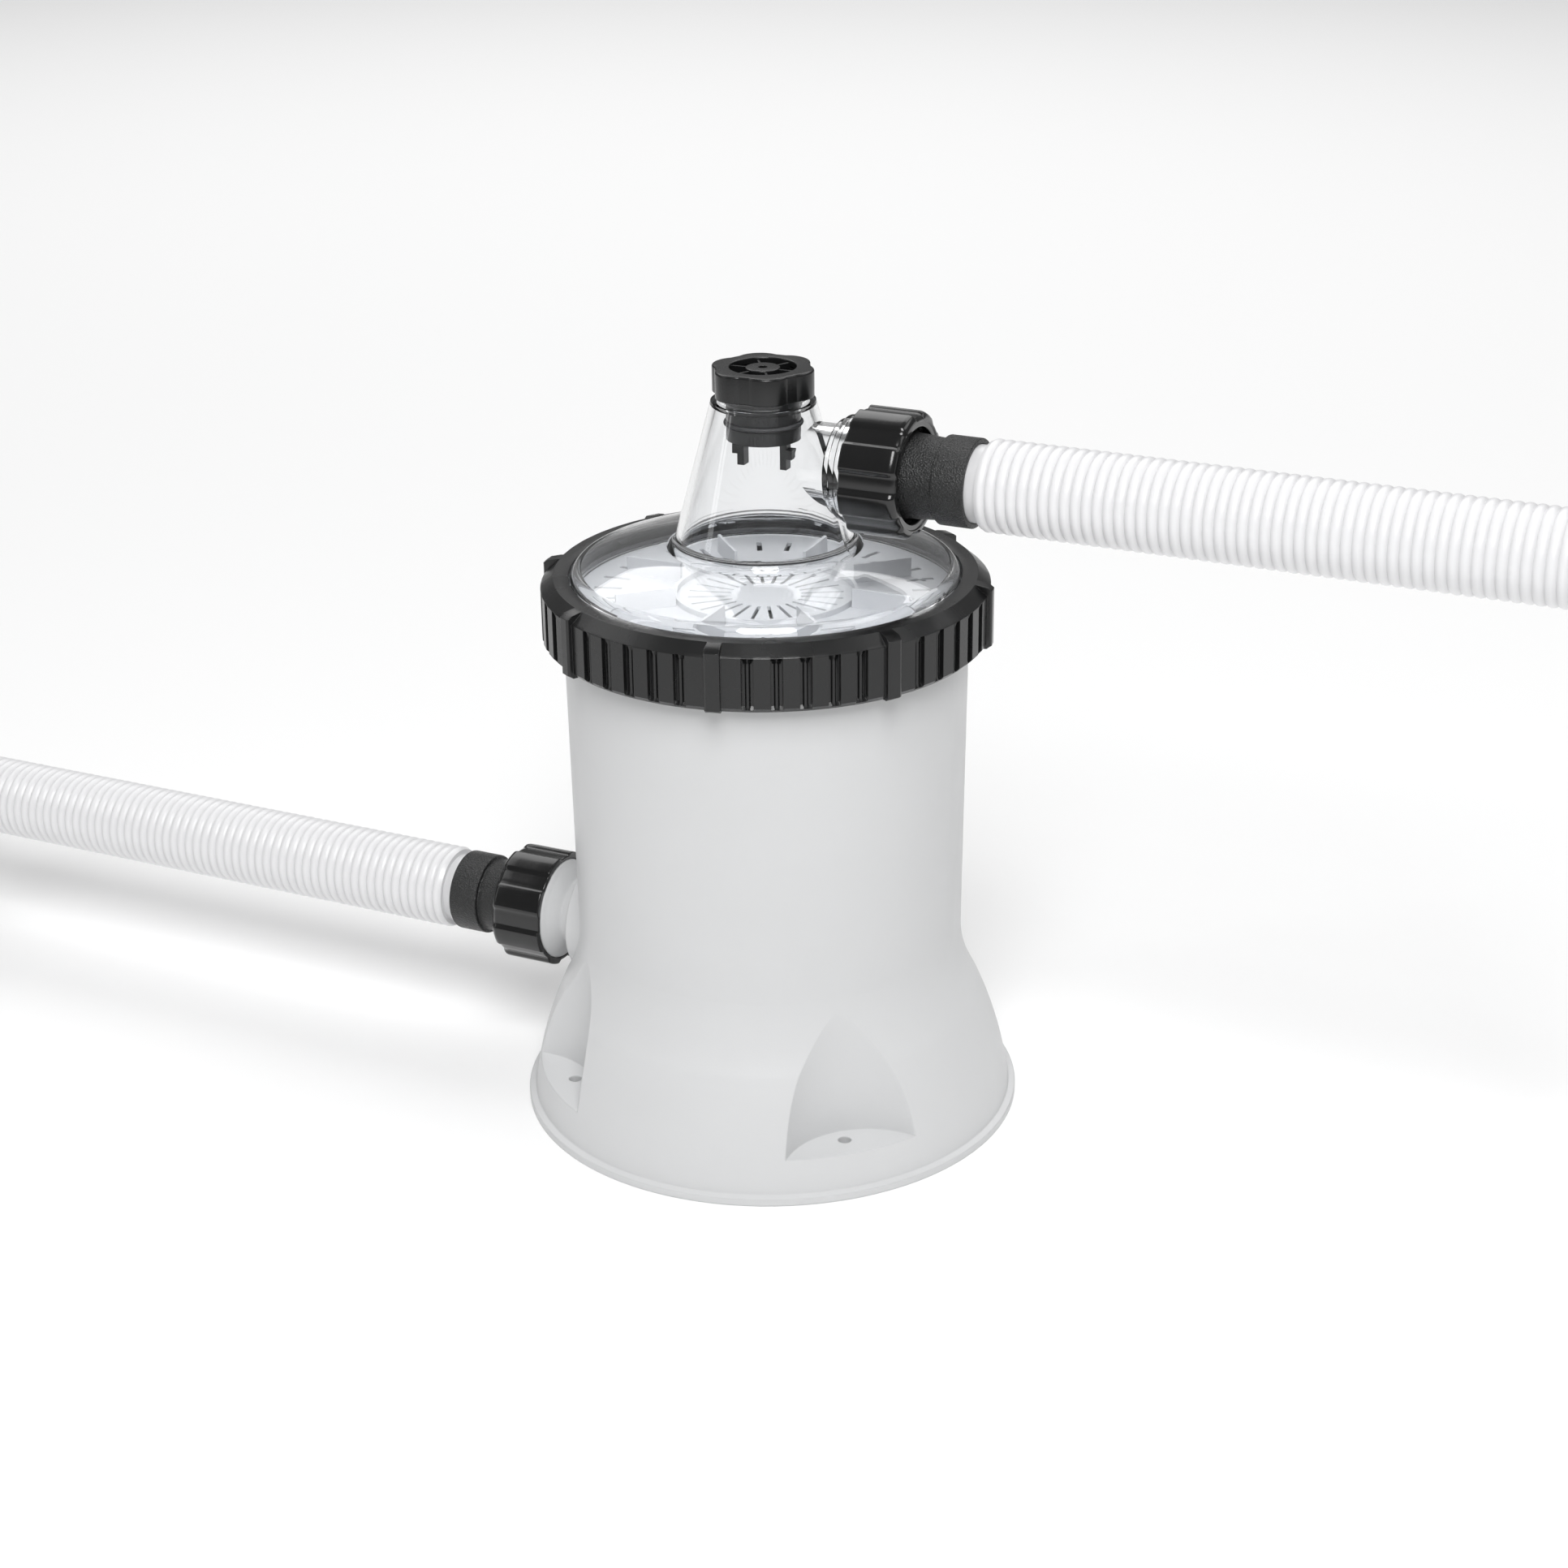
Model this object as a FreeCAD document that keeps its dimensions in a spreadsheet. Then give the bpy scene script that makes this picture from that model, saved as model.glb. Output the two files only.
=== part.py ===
import FreeCAD, Part
import Sketcher
import math
import os
import re

# Above-ground pool filter pump: a flared tank that stands on its base, a motor and
# impeller under the tank floor, fibre filter balls inside, a clear lid held by a
# lock ring, and two corrugated hoses on union nuts.
# Frame: origin on the tank axis at the ground, +Z up, +X along the inlet hose.

doc = FreeCAD.newDocument("pool_pump")
Vector = FreeCAD.Vector

# driving sizes (mm)
SIZES = {
    # the sizes most of the others follow
    "baseR": 110.0, "tankTopR": 86.0, "tankRimZ": 234.5, "wall": 3.0, "floorZ": 88.0, "floorThick": 4.0,
    "hoseR": 19.0, "threadR": "=hoseR + 4", "threadFit": 0.3,
    # tank and flared base
    "rimWide": 3.0, "rimTall": 4.0, "rimDrop": 0.8, "flareR": "=baseR - 17", "flareZ": 52.0,
    "flareTopZ": 82.0, "flareFootArc": 170.0, "flareHeadArc": 60.0, "tankFootR": "=tankTopR - 1.5",
    "taperTopZ": "=tankRimZ - 35.5", "ledgeZ": "=tankRimZ - 3.5", "ledgeWide": 1.5, "eyeR": 14.0,
    "tankLugOut": 3.0, "tankLugZ": "=tankRimZ - 12", "tankLugTall": 3.5, "lugArc": 38.0,
    # foot pockets and their screw bosses
    "footHoleDist": "=baseR - 17.5", "footHoleR": 2.8, "footBossR": 7.0, "pocketR": 36.5,
    "pocketDist": "=footHoleDist + 29", "pocketZ": 18.6,
    # outlet port on the tank
    "outletZ": 66.0, "padR": "=threadR + 2", "padX": "=flareR - 2", "stubR": 15.5, "stubBore": 12.5,
    "socketR": 14.8, "socketWall": 2.7, "socketX": "=padX - 20", "socketEndX": "=padX - 9",
    "stubConeX": "=padX + 8", "outletNutX": "=padX + 14",
    # lock ring, hung on the tank's rim
    "ringTopZ": "=tankRimZ + 10.4", "ringTopThick": 3.0, "ringPadTopZ": "=tankRimZ + 5.8",
    "ringLowZ": "=tankRimZ - 17.5", "ringInnerR": "=tankTopR + tankLugOut + 0.6",
    "ringBoreR": "=ringInnerR - 6.5",
    "ringFlatR": "=ringInnerR + 0.2", "ringPadR": "=ringInnerR + 5.6", "ringLowR": "=ringPadR - 2.2",
    "ringBevel": 2.0, "ringLugs": 8.0, "ringLugFirst": 12.7, "ringLugR": "=ringPadR + 2.1", "ringLugWide": 6.4,
    "grooveStep": 7.05, "grooveWide": 5.2, "grooveR": "=ringPadR - 2", "beadR": 1.0,
    "grooveLowZ": "=ringLowZ + 2", "grooveTopZ": "=ringPadTopZ - 2.8", "ringToothIn": 2.4, "ringToothTall": 3.5,
    # clear lid, seated on the tank's rim with an O-ring between
    "lidFlangeR": "=ringInnerR - 1.3", "lidFlangeZ": "=tankRimZ + 3", "lidFlangeThick": 4.0,
    "shoulderR": "=ringBoreR - 0.7", "shoulderZ": "=lidFlangeZ + 7.1", "domeEdgeR": "=shoulderR - 3.9",
    "domeEdgeZ": "=lidFlangeZ + 11.2", "shoulderArc": 5.5, "domeArc": 170.0, "domeTopR": 41.5,
    "domeTopZ": "=lidFlangeZ + 19.1", "coneFootR": 37.6, "coneFootZ": "=lidFlangeZ + 24", "footArc": 5.0,
    "neckR": 18.6, "coneTopR": "=neckR + 3.3", "coneTopZ": "=lidFlangeZ + 81.5",
    "neckTopZ": "=lidFlangeZ + 92.9", "neckBore": "=neckR - 2", "lidWall": 2.6,
    "spigotR": "=tankTopR - wall - 0.6", "spigotDrop": 2.6, "spigotWide": 2.6, "oRingWide": 1.5,
    "oRingR": "=tankTopR - wall/2 + 0.1",
    # inlet port on the lid
    "inletZ": "=lidFlangeZ + 57", "inletR": 17.3, "inletBore": 14.0, "inletNutX": 44.6,
    "inletLedgeX": "=inletNutX - 9.1", "inletLedgeR": 20.0,
    # top cap and plug
    "capR": "=neckR + 3.5", "capLobes": 6.0, "capLobeR": 11.0, "capFootZ": "=neckTopZ - 8.8",
    "capTopZ": "=neckTopZ + 2.7", "capTopThick": 2.5, "wellR": 13.9, "capFit": 0.3, "hubR": 7.2,
    "spokeWide": 0.9, "spokeTall": 2.2, "spokeDrop": 1.0, "spokeTurn": 3.0, "pinHoleR": 1.8,
    "plugR": "=neckBore - 1.1", "plugFootZ": "=neckTopZ - 27.4", "plugWall": 1.8, "sealZ": "=plugFootZ + 7",
    "sealWide": 2.4, "sealDeep": 1.0, "armDist": "=plugR - 5.7", "armWide": 4.6, "armThick": 3.1,
    "armTall": 12.5, "barbOut": 2.4, "barbTall": 4.0, "barbZ": "=plugFootZ - 7.8",
    # diffuser, on the ledge inside the tank
    "diffuserZ": "=ledgeZ + 0.2", "diffuserThick": 1.8, "diffuserR": "=tankTopR - wall - 0.4",
    "slotCount": 32.0, "slotIn": 62.0, "slotOut": 74.0, "slotWide": 2.4, "discR": 37.5, "discTall": 2.4,
    "discWall": 1.6, "ribCount": 8.0, "ribThick": 1.4, "ribTall": 8.0, "ribIn": 40.0, "ribOut": 66.0,
    "meshSlots": 24.0, "meshIn": 15.0, "meshOut": 33.0, "meshWide": 1.5,
    # unions, shared by both ends of both hoses (s runs from the nut's mouth to the hose)
    "cuffR": "=hoseR - 3.1", "cuffFit": 0.2, "cuffBore": "=cuffR - 2.5", "nutLong": 25.0,
    "nutRoundR": "=threadR + threadFit + 1.4", "nutR": "=nutRoundR + 1.7", "nutLobes": 8.0, "nutLobeR": 9.0,
    "nutTurn": 17.5, "nutLip": 6.0, "nutLipR": "=threadR - 3", "gasketS": 12.2, "gasketThick": 2.0,
    "gasketBore": "=cuffBore", "flangeFit": 0.2, "flangeR": "=threadR - 0.4", "tailBore": "=cuffR - 2.9",
    "tailRootR": "=cuffR + 1.7", "tailWaistR": "=cuffR + 0.7", "collarS": "=nutLong + 12.2",
    "collarR": "=cuffR + 2.5", "collarFloorS": "=collarS + 3", "collarEndS": "=collarS + 14",
    "hoseS": "=collarEndS + 4.8",
    # hoses
    "hoseBore": "=hoseR - 5", "inletHoseEnd": 336.0, "outletHoseEnd": 440.0,
    # base cover, gland and screws
    "coverR": "=flareR - 9", "coverThick": 2.4, "coverZ": 4.0, "ventWide": 4.0, "ventLong": 34.0,
    "glandZ": 30.0, "glandPadY": "=baseR - 4.5", "glandR": 9.0, "glandNutR": 12.0, "glandBore": 4.0,
    "glandLong": 24.0, "screwR": 2.0, "screwHeadR": 3.8, "screwHeadTall": 2.4, "screwLong": 9.0,
    "screwFit": 0.15, "coverPostDist": "=coverR - 14", "coverPostR": 5.0,
    # motor under the pump, from the shaft outwards
    "shaftR": 4.0, "shaftFit": 0.05, "bushR": "=shaftR + 2.5", "bushThick": 3.2,
    "canR": 17.0, "canWall": 1.0, "canFlangeR": "=canR + 13", "canFlangeThick": 2.0,
    "magnetR": "=canR - canWall - 1.6", "magnetTall": 28.0, "coreFit": 0.4, "coreDeep": 24.0,
    "coreTall": 18.0, "coilIn": "=canR + 3.5", "coilOut": "=coilIn + 12", "coilSkin": 5.0, "coilFit": 0.3,
    "coreWide": "=2*coilOut + 9", "motorR": "=coreWide/2 + 7", "motorWall": 2.5, "motorFlangeThick": 4.0,
    "motorFootZ": "=coverZ + coverThick + 1", "canFootZ": "=motorFootZ + motorWall + 1.1",
    "shaftFootZ": "=canFootZ + canWall", "magnetFootZ": "=shaftFootZ + 4", "coreFootZ": "=magnetFootZ + 4",
    # pump under the floor
    "voluteR": 46.0, "voluteFootZ": 50.0, "voluteWall": 3.0, "voluteFlangeR": "=voluteR + 11",
    "voluteFlangeThick": 4.0, "voluteGasket": 1.0, "voluteGasketR": "=voluteR + 3",
    "footFlangeR": "=motorR + 8.5", "spoutR": "=socketR - 0.3", "spoutBore": 11.5,
    "spoutEndX": "=socketEndX - 2", "spoutSealX": "=spoutEndX - 4.5", "spoutSealWide": 2.6,
    "spoutSealDeep": 1.5, "flangeScrewDist": "=voluteR + 6.5", "footScrewDist": "=motorR + 5",
    "upperBushZ": "=floorZ - 10", "shaftTopZ": "=upperBushZ + 4", "impellerR": 30.0, "impellerZ": 57.0,
    "impellerThick": 2.5, "impellerHubR": "=shaftR + 4", "bladeTall": 15.0, "bladeThick": 2.2,
    "bladeLean": 32.0, "bladeReach": 19.0, "bladeCount": 6.0, "spiderBore": "=eyeR + 1.5",
    "spiderR": "=spiderBore + 4.5", "spiderTall": 3.6, "spiderArm": 3.0, "spiderHubR": "=bushR + 1.7",
    # suction strainer and filter balls
    "strainerFlangeR": 30.0, "strainerFlangeThick": 1.8, "strainerR": 22.0, "strainerTall": 17.0,
    "strainerWall": 1.6, "strainerSlots": 16.0, "strainerSlotWide": 2.2,
    "ballR": 22.5, "ballRingDist": "=tankFootR - wall - ballR - 2", "ballGap": 0.5,
}

sheet = doc.addObject("Spreadsheet::Sheet", "Sizes")
for row, (alias, size) in enumerate(SIZES.items(), start=1):
    sheet.set(f"A{row}", alias)
    sheet.set(f"B{row}", str(size))
    sheet.setAlias(f"B{row}", alias)
doc.recompute()

finished = []          # every object that becomes a file of its own


# helpers
def expression(text):
    """Writes the sheet's name before each size's name, as an expression needs it."""
    return re.sub(r"\b([a-z]+[A-Z]\w*|wall)\b", r"Sizes.\1", str(text))


def value(text):
    return float(sheet.evalExpression(expression(text)))


def keep(shapeObject, label):
    shapeObject.Label = label
    finished.append(shapeObject)
    return shapeObject


def bind(thing, **sizes):
    for name, text in sizes.items():
        thing.setExpression(name.replace("_", "."), expression(text))


def outline(sketch, vertices):
    """Closed outline. A vertex is (x, y) or (x, y, radius, side of the arc's centre)."""
    spots = [Vector(value(v[0]), value(v[1]), 0) for v in vertices]
    ends = []
    for i, vertex in enumerate(vertices):
        here, there = spots[i], spots[(i + 1) % len(spots)]
        if len(vertex) == 2:
            edge = sketch.addGeometry(Part.LineSegment(here, there), False)
            ends.append((edge, 1, 2))
            continue
        radius = value(vertex[2])
        side = 1 if vertex[3] == "left" else -1
        run = there - here
        reach = math.sqrt(max(radius ** 2 - (run.Length / 2) ** 2, 0))
        centre = (here + there) * 0.5 + Vector(-run.y, run.x, 0).normalize() * (side * reach)
        turns = [math.atan2(spot.y - centre.y, spot.x - centre.x) for spot in (here, there)]
        circle = Part.Circle(centre, Vector(0, 0, 1), radius)
        arc = Part.ArcOfCircle(circle, *(turns if side == 1 else turns[::-1]))
        edge = sketch.addGeometry(arc, False)
        ends.append((edge, 1, 2) if side == 1 else (edge, 2, 1))
        number = sketch.addConstraint(Sketcher.Constraint("Radius", edge, radius))
        sketch.setExpression(f"Constraints[{number}]", expression(vertex[2]))
    for i, (edge, start, finish) in enumerate(ends):
        follower, followerStart, _ = ends[(i + 1) % len(ends)]
        sketch.addConstraint(Sketcher.Constraint("Coincident", edge, finish, follower, followerStart))
        for kind, text, place in (("DistanceX", vertices[i][0], spots[i].x),
                                  ("DistanceY", vertices[i][1], spots[i].y)):
            number = sketch.addConstraint(Sketcher.Constraint(kind, -1, 1, edge, start, place))
            sketch.setExpression(f"Constraints[{number}]", expression(text))


def circleOutline(sketch, x, y, radius):
    circle = Part.Circle(Vector(value(x), value(y), 0), Vector(0, 0, 1), value(radius))
    edge = sketch.addGeometry(circle, False)
    for kind, at, text in (("DistanceX", (-1, 1, edge, 3), x), ("DistanceY", (-1, 1, edge, 3), y),
                           ("Radius", (edge,), radius)):
        number = sketch.addConstraint(Sketcher.Constraint(kind, *at, value(text)))
        sketch.setExpression(f"Constraints[{number}]", expression(text))


def newBody(label):
    return keep(doc.addObject("PartDesign::Body", label), label)


def newSketch(body, name, plane, acrossX=None, acrossY=None, along=None):
    """A sketch on one of the body's own origin planes, moved by bound offsets."""
    sketch = body.newObject("Sketcher::SketchObject", name)
    support = [part for part in body.Origin.OriginFeatures if part.Role == plane][0]
    sketch.AttachmentSupport = (support, [""])
    sketch.MapMode = "FlatFace"
    for axis, text in (("x", acrossX), ("y", acrossY), ("z", along)):
        if text is not None:
            sketch.setExpression(f"AttachmentOffset.Base.{axis}", expression(text))
    return sketch


def turned(body, name, vertices, cut=False, height=None):
    """Turns an outline about Z, or about X at a height."""
    sketch = newSketch(body, name + "_outline", "XZ_Plane", acrossY=height)
    outline(sketch, vertices)
    feature = body.newObject("PartDesign::Groove" if cut else "PartDesign::Revolution", name)
    feature.Profile = sketch
    feature.ReferenceAxis = (sketch, ["V_Axis" if height is None else "H_Axis"])
    feature.Angle = 360
    doc.recompute()
    return feature


def raised(body, name, draw, foot, tall, cut=False, plane="XY_Plane", height=None):
    """Pads (or pockets) what draw() puts in a sketch, from foot up by tall."""
    if plane == "XY_Plane":
        sketch = newSketch(body, name + "_outline", plane, along=foot)
    else:
        sketch = newSketch(body, name + "_outline", plane, acrossY=height, along=foot)
    draw(sketch)
    feature = body.newObject("PartDesign::Pocket" if cut else "PartDesign::Pad", name)
    feature.Profile = sketch
    bind(feature, Length=tall)
    feature.Reversed = cut
    doc.recompute()
    return feature


def repeated(body, name, feature, count):
    pattern = body.newObject("PartDesign::PolarPattern", name)
    pattern.Originals = [feature]
    pattern.Axis = (feature.Profile[0], ["N_Axis"])
    pattern.Angle = 360
    bind(pattern, Occurrences=count)
    body.Tip = pattern
    doc.recompute()
    return pattern


def tilted(x, y, degrees):
    """Expressions of the point (x, y) turned about the origin."""
    return (f"({x})*cos({degrees}) - ({y})*sin({degrees})", f"({x})*sin({degrees}) + ({y})*cos({degrees})")


def slab(sketch, inner, outer, wide, degrees="0"):
    """A rectangle from inner to outer along a ray at the given angle."""
    low, high = f"-({wide})/2", f"({wide})/2"
    corners = ((inner, low), (outer, low), (outer, high), (inner, high))
    outline(sketch, [tilted(x, y, degrees) for x, y in corners])


def plainSolid(label, vertices, height=None):
    body = newBody(label)
    turned(body, label + "_turned", vertices, height=height)
    return body


def boolean(kind, name, base, tool):
    joined = doc.addObject(kind, name)
    joined.Base, joined.Tool = base, tool
    return joined


def cylinder(name, radius, tall, x="0", y="0", z="0", along=(0, 0, 1)):
    rod = doc.addObject("Part::Cylinder", name)
    rod.Placement.Rotation = FreeCAD.Rotation(Vector(0, 0, 1), Vector(*along))
    bind(rod, Radius=radius, Height=tall)
    for axis, text in zip("xyz", (x, y, z)):
        rod.setExpression(f"Placement.Base.{axis}", expression(text))
    return rod


def box(name, wide, deep, tall, x, y, z):
    block = doc.addObject("Part::Box", name)
    bind(block, Length=wide, Width=deep, Height=tall)
    for axis, text in zip("xyz", (x, y, z)):
        block.setExpression(f"Placement.Base.{axis}", expression(text))
    return block


def merged(name, parts):
    together = doc.addObject("Part::MultiFuse", name)
    together.Shapes = parts
    return together


def solidGroup(label, solids):
    """Several equal loose pieces kept as one node."""
    group = doc.addObject("Part::Feature", label)
    group.Shape = Part.makeCompound(solids)
    return keep(group, label)


def ring(count, start=0.0):
    return [math.radians(start + 360.0 * k / count) for k in range(count)]


def sector(sketch, inner, outer, halfArc, middle):
    """A piece of a flat ring, halfArc degrees each side of the middle angle."""
    low, high = f"({middle}) - ({halfArc})", f"({middle}) + ({halfArc})"
    outline(sketch, [tilted(inner, "0", low), (*tilted(outer, "0", low), outer, "left"),
                     tilted(outer, "0", high), (*tilted(inner, "0", high), inner, "right")])


def torus(label, major, minor, z):
    loop = doc.addObject("Part::Torus", label)
    bind(loop, Radius1=major, Radius2=minor, Placement_Base_z=z)
    return keep(loop, label)


def screws(label, spots, headFoot, headTall, long):
    """Pan-head screws that point up, each a head below headFoot + headTall and a shank above."""
    solids = []
    for x, y in spots:
        head = Part.makeCylinder(value("screwHeadR"), headTall, Vector(x, y, headFoot))
        shank = Part.makeCylinder(value("screwR"), long, Vector(x, y, headFoot + headTall))
        socket = Part.makeCylinder(value("screwR") * 0.55, headTall * 0.5, Vector(x, y, headFoot))
        solids.append(head.fuse(shank).cut(socket).removeSplitter())
    return solidGroup(label, solids)


def around(distance, count, start=0.0):
    radius = value(distance)
    return [(radius * math.cos(angle), radius * math.sin(angle)) for angle in ring(count, start)]


# tank
def makeTank():
    outer = doc.addObject("PartDesign::Body", "tank_outside")
    turned(outer, "tank_form", [
        ("0", "0"), ("baseR", "0"), ("baseR", "rimTall - rimDrop"),
        ("baseR - rimWide", "rimTall", "flareFootArc", "left"), ("flareR", "flareZ", "flareHeadArc", "right"),
        ("tankFootR", "flareTopZ"), ("tankTopR", "taperTopZ"), ("tankTopR", "tankRimZ"), ("0", "tankRimZ")])
    lug = raised(outer, "tank_lug", lambda s: sector(s, "tankTopR - wall/2", "tankTopR + tankLugOut",
                                                     "lugArc/2", "ringLugFirst"), "tankLugZ", "tankLugTall")
    repeated(outer, "tank_lugs", lug, "4")

    # the room under the floor, less a wall round each foot pocket
    under = doc.addObject("PartDesign::Body", "room_under_floor")
    turned(under, "under_form", [
        ("0", "-1"), ("baseR - rimWide - wall", "-1"),
        ("baseR - rimWide - wall", "rimTall", "flareFootArc - wall", "left"),
        ("flareR - wall", "flareZ", "flareHeadArc + wall", "right"), ("tankFootR - wall", "flareTopZ"),
        ("tankFootR - wall", "floorZ"), ("0", "floorZ")])
    pockets, pocketWalls, bosses, holes, posts, postHoles = [], [], [], [], [], []
    for k in range(4):
        turn = str(45 + 90 * k)
        x, y = tilted("pocketDist", "0", turn)
        pockets.append(cylinder(f"pocket_{k}", "pocketR", "flareTopZ", x, y, "pocketZ"))
        pocketWalls.append(cylinder(f"pocket_wall_{k}", "pocketR + wall", "flareTopZ", x, y, "pocketZ - wall"))
        x, y = tilted("footHoleDist", "0", turn)
        bosses.append(cylinder(f"foot_boss_{k}", "footBossR", "pocketZ - wall/2", x, y))
        holes.append(cylinder(f"foot_hole_{k}", "footHoleR", "pocketZ + 2", x, y, "-1"))
        x, y = tilted("coverPostDist", "0", turn)
        posts.append(cylinder(f"cover_post_{k}", "coverPostR", "floorZ + 1 - coverZ - coverThick",
                              x, y, "coverZ + coverThick"))
        postHoles.append(cylinder(f"post_hole_{k}", "screwR + screwFit", "screwLong", x, y,
                                  "coverZ + coverThick"))
    room = boolean("Part::Cut", "room_less_pockets", under, merged("pocket_wall_set", pocketWalls))

    chamber = doc.addObject("PartDesign::Body", "filter_chamber")
    turned(chamber, "chamber_form", [
        ("0", "floorZ + floorThick"), ("tankFootR - wall", "floorZ + floorThick"),
        ("tankTopR - wall - ledgeWide", "taperTopZ"), ("tankTopR - wall - ledgeWide", "ledgeZ"),
        ("tankTopR - wall", "ledgeZ"), ("tankTopR - wall", "tankRimZ + 1"), ("0", "tankRimZ + 1")])

    # outlet port: a flat pad, a stub with a dished thread end, and a socket inside
    port = doc.addObject("PartDesign::Body", "outlet_port")
    turned(port, "port_form", [
        ("-socketX", "0"), ("-socketX", "socketR + socketWall"), ("-socketEndX - 1", "socketR + socketWall"),
        ("-socketEndX - 1", "padR"), ("-padX", "padR"), ("-padX", "stubR"), ("-stubConeX", "stubR"),
        ("-outletNutX + 1.5", "threadR - 2.2"), ("-outletNutX + 0.6", "threadR - 0.8"),
        ("-outletNutX", "threadR"), ("-outletNutX - gasketS", "threadR"), ("-outletNutX - gasketS", "0")],
        height="outletZ")
    bore = doc.addObject("PartDesign::Body", "outlet_bore")
    turned(bore, "bore_form", [
        ("-socketX + 1", "0"), ("-socketX + 1", "socketR"), ("-socketEndX", "socketR"),
        ("-socketEndX", "stubBore"), ("-outletNutX - gasketS - 1", "stubBore"),
        ("-outletNutX - gasketS - 1", "0")], height="outletZ")

    glandPad = cylinder("gland_pad", "glandNutR + 2", "17.5", y="glandPadY - 17.5", z="glandZ",
                        along=(0, 1, 0))
    glandHole = cylinder("gland_hole", "glandR - 2.8", "30", y="glandPadY - 25.5", z="glandZ",
                         along=(0, 1, 0))
    eye = cylinder("suction_eye", "eyeR", "floorThick + 2", z="floorZ - 1")
    floorHoles = [cylinder(f"floor_hole_{k}", "screwR + screwFit", "floorThick - 0.8",
                           *tilted("flangeScrewDist", "0", str(60 * k)), "floorZ") for k in range(6)]

    hollow = boolean("Part::Cut", "tank_hollow", boolean("Part::Cut", "tank_pocketed", outer,
                                                          merged("pocket_set", pockets)),
                     merged("hollow_set", [room, chamber]))
    added = merged("tank_added", [hollow, port, glandPad] + bosses + posts)
    tank = boolean("Part::Cut", "tank_cut", added,
                   merged("tank_holes", [bore, eye, glandHole] + holes + postHoles + floorHoles))
    keep(tank, "tank_shell")


def makeBase():
    cover = newBody("base_cover")
    turned(cover, "cover_disc", [("0", "coverZ"), ("coverR", "coverZ"), ("coverR", "coverZ + coverThick"),
                                 ("0", "coverZ + coverThick")])
    vent = raised(cover, "vent", lambda s: slab(s, "28", "28 + ventLong", "ventWide", "22.5"), "coverZ - 1",
                  "coverThick + 2", cut=True)
    repeated(cover, "vents", vent, "8")
    hole = raised(cover, "cover_hole",
                  lambda s: circleOutline(s, *tilted("coverPostDist", "0", "45"), "screwR + screwFit"),
                  "coverZ - 1", "coverThick + 2", cut=True)
    repeated(cover, "cover_holes", hole, "4")
    screws("cover_screws", around("coverPostDist", 4, 45.0), value("coverZ - screwHeadTall"),
           value("screwHeadTall"), value("screwLong"))

    # cable gland in the back of the skirt, for the mains lead
    collar = doc.addObject("Part::Prism", "gland_collar")
    collar.Polygon = 6
    collar.Placement.Rotation = FreeCAD.Rotation(Vector(0, 0, 1), Vector(0, 1, 0))
    bind(collar, Circumradius="glandNutR", Height="5")
    bind(collar, Placement_Base_y="glandPadY", Placement_Base_z="glandZ")
    throat = cylinder("gland_throat", "glandR - 3", "25", y="glandPadY - 25", z="glandZ", along=(0, 1, 0))
    dome = cylinder("gland_dome", "glandR", "glandLong - 10", y="glandPadY + 4", z="glandZ", along=(0, 1, 0))
    way = cylinder("gland_way", "glandBore", "70", y="glandPadY - 30", z="glandZ", along=(0, 1, 0))
    keep(boolean("Part::Cut", "gland_cut", merged("gland_set", [collar, throat, dome]), way), "cable_gland")
    nut = doc.addObject("Part::Prism", "gland_nut_form")
    nut.Polygon = 6
    nut.Placement.Rotation = FreeCAD.Rotation(Vector(0, 0, 1), Vector(0, 1, 0))
    bind(nut, Circumradius="glandNutR - 1", Height="4")
    bind(nut, Placement_Base_y="glandPadY - 22", Placement_Base_z="glandZ")
    hole = cylinder("gland_nut_hole", "glandR - 3 + 0.05", "10", y="glandPadY - 24", z="glandZ",
                    along=(0, 1, 0))
    keep(boolean("Part::Cut", "gland_nut_cut", nut, hole), "gland_nut")


# lock ring
def makeLockRing():
    body = newBody("lock_ring")
    turned(body, "ring_form", [
        ("ringBoreR", "ringTopZ"), ("ringBoreR", "ringTopZ - ringTopThick"),
        ("ringInnerR", "ringTopZ - ringTopThick"), ("ringInnerR", "ringLowZ"), ("ringLowR", "ringLowZ"),
        ("ringPadR", "ringLowZ + ringBevel"), ("ringPadR", "ringPadTopZ"), ("ringFlatR", "ringTopZ")])
    first = "ringLugFirst + 180/ringLugs"
    for k in range(-2, 3):
        angle = f"{first} + ({k})*grooveStep"
        name = f"groove_{k + 2}"
        groove = raised(body, name, lambda s: slab(s, "grooveR", "ringPadR + 2", "grooveWide", angle),
                        "grooveLowZ", "grooveTopZ - grooveLowZ", cut=True)
        repeated(body, name + "_set", groove, "ringLugs")
        bead = raised(body, name + "_bead",
                      lambda s: circleOutline(s, *tilted("grooveR + 0.2", "0", angle), "beadR"),
                      "grooveLowZ - 0.5", "grooveTopZ - grooveLowZ")
        repeated(body, name + "_beads", bead, "ringLugs")
    lug = raised(body, "ring_lug", lambda s: slab(s, "ringInnerR + 0.8", "ringLugR", "ringLugWide",
                                                  "ringLugFirst"),
                 "ringLowZ + 0.6", "ringTopZ - ringLowZ - 1.6")
    repeated(body, "ring_lugs", lug, "ringLugs")
    tooth = raised(body, "ring_tooth", lambda s: sector(s, "ringInnerR - ringToothIn", "ringInnerR + 1",
                                                        "lugArc/2", "ringLugFirst"),
                   "ringLowZ + 0.4", "ringToothTall")
    repeated(body, "ring_teeth", tooth, "4")


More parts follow.
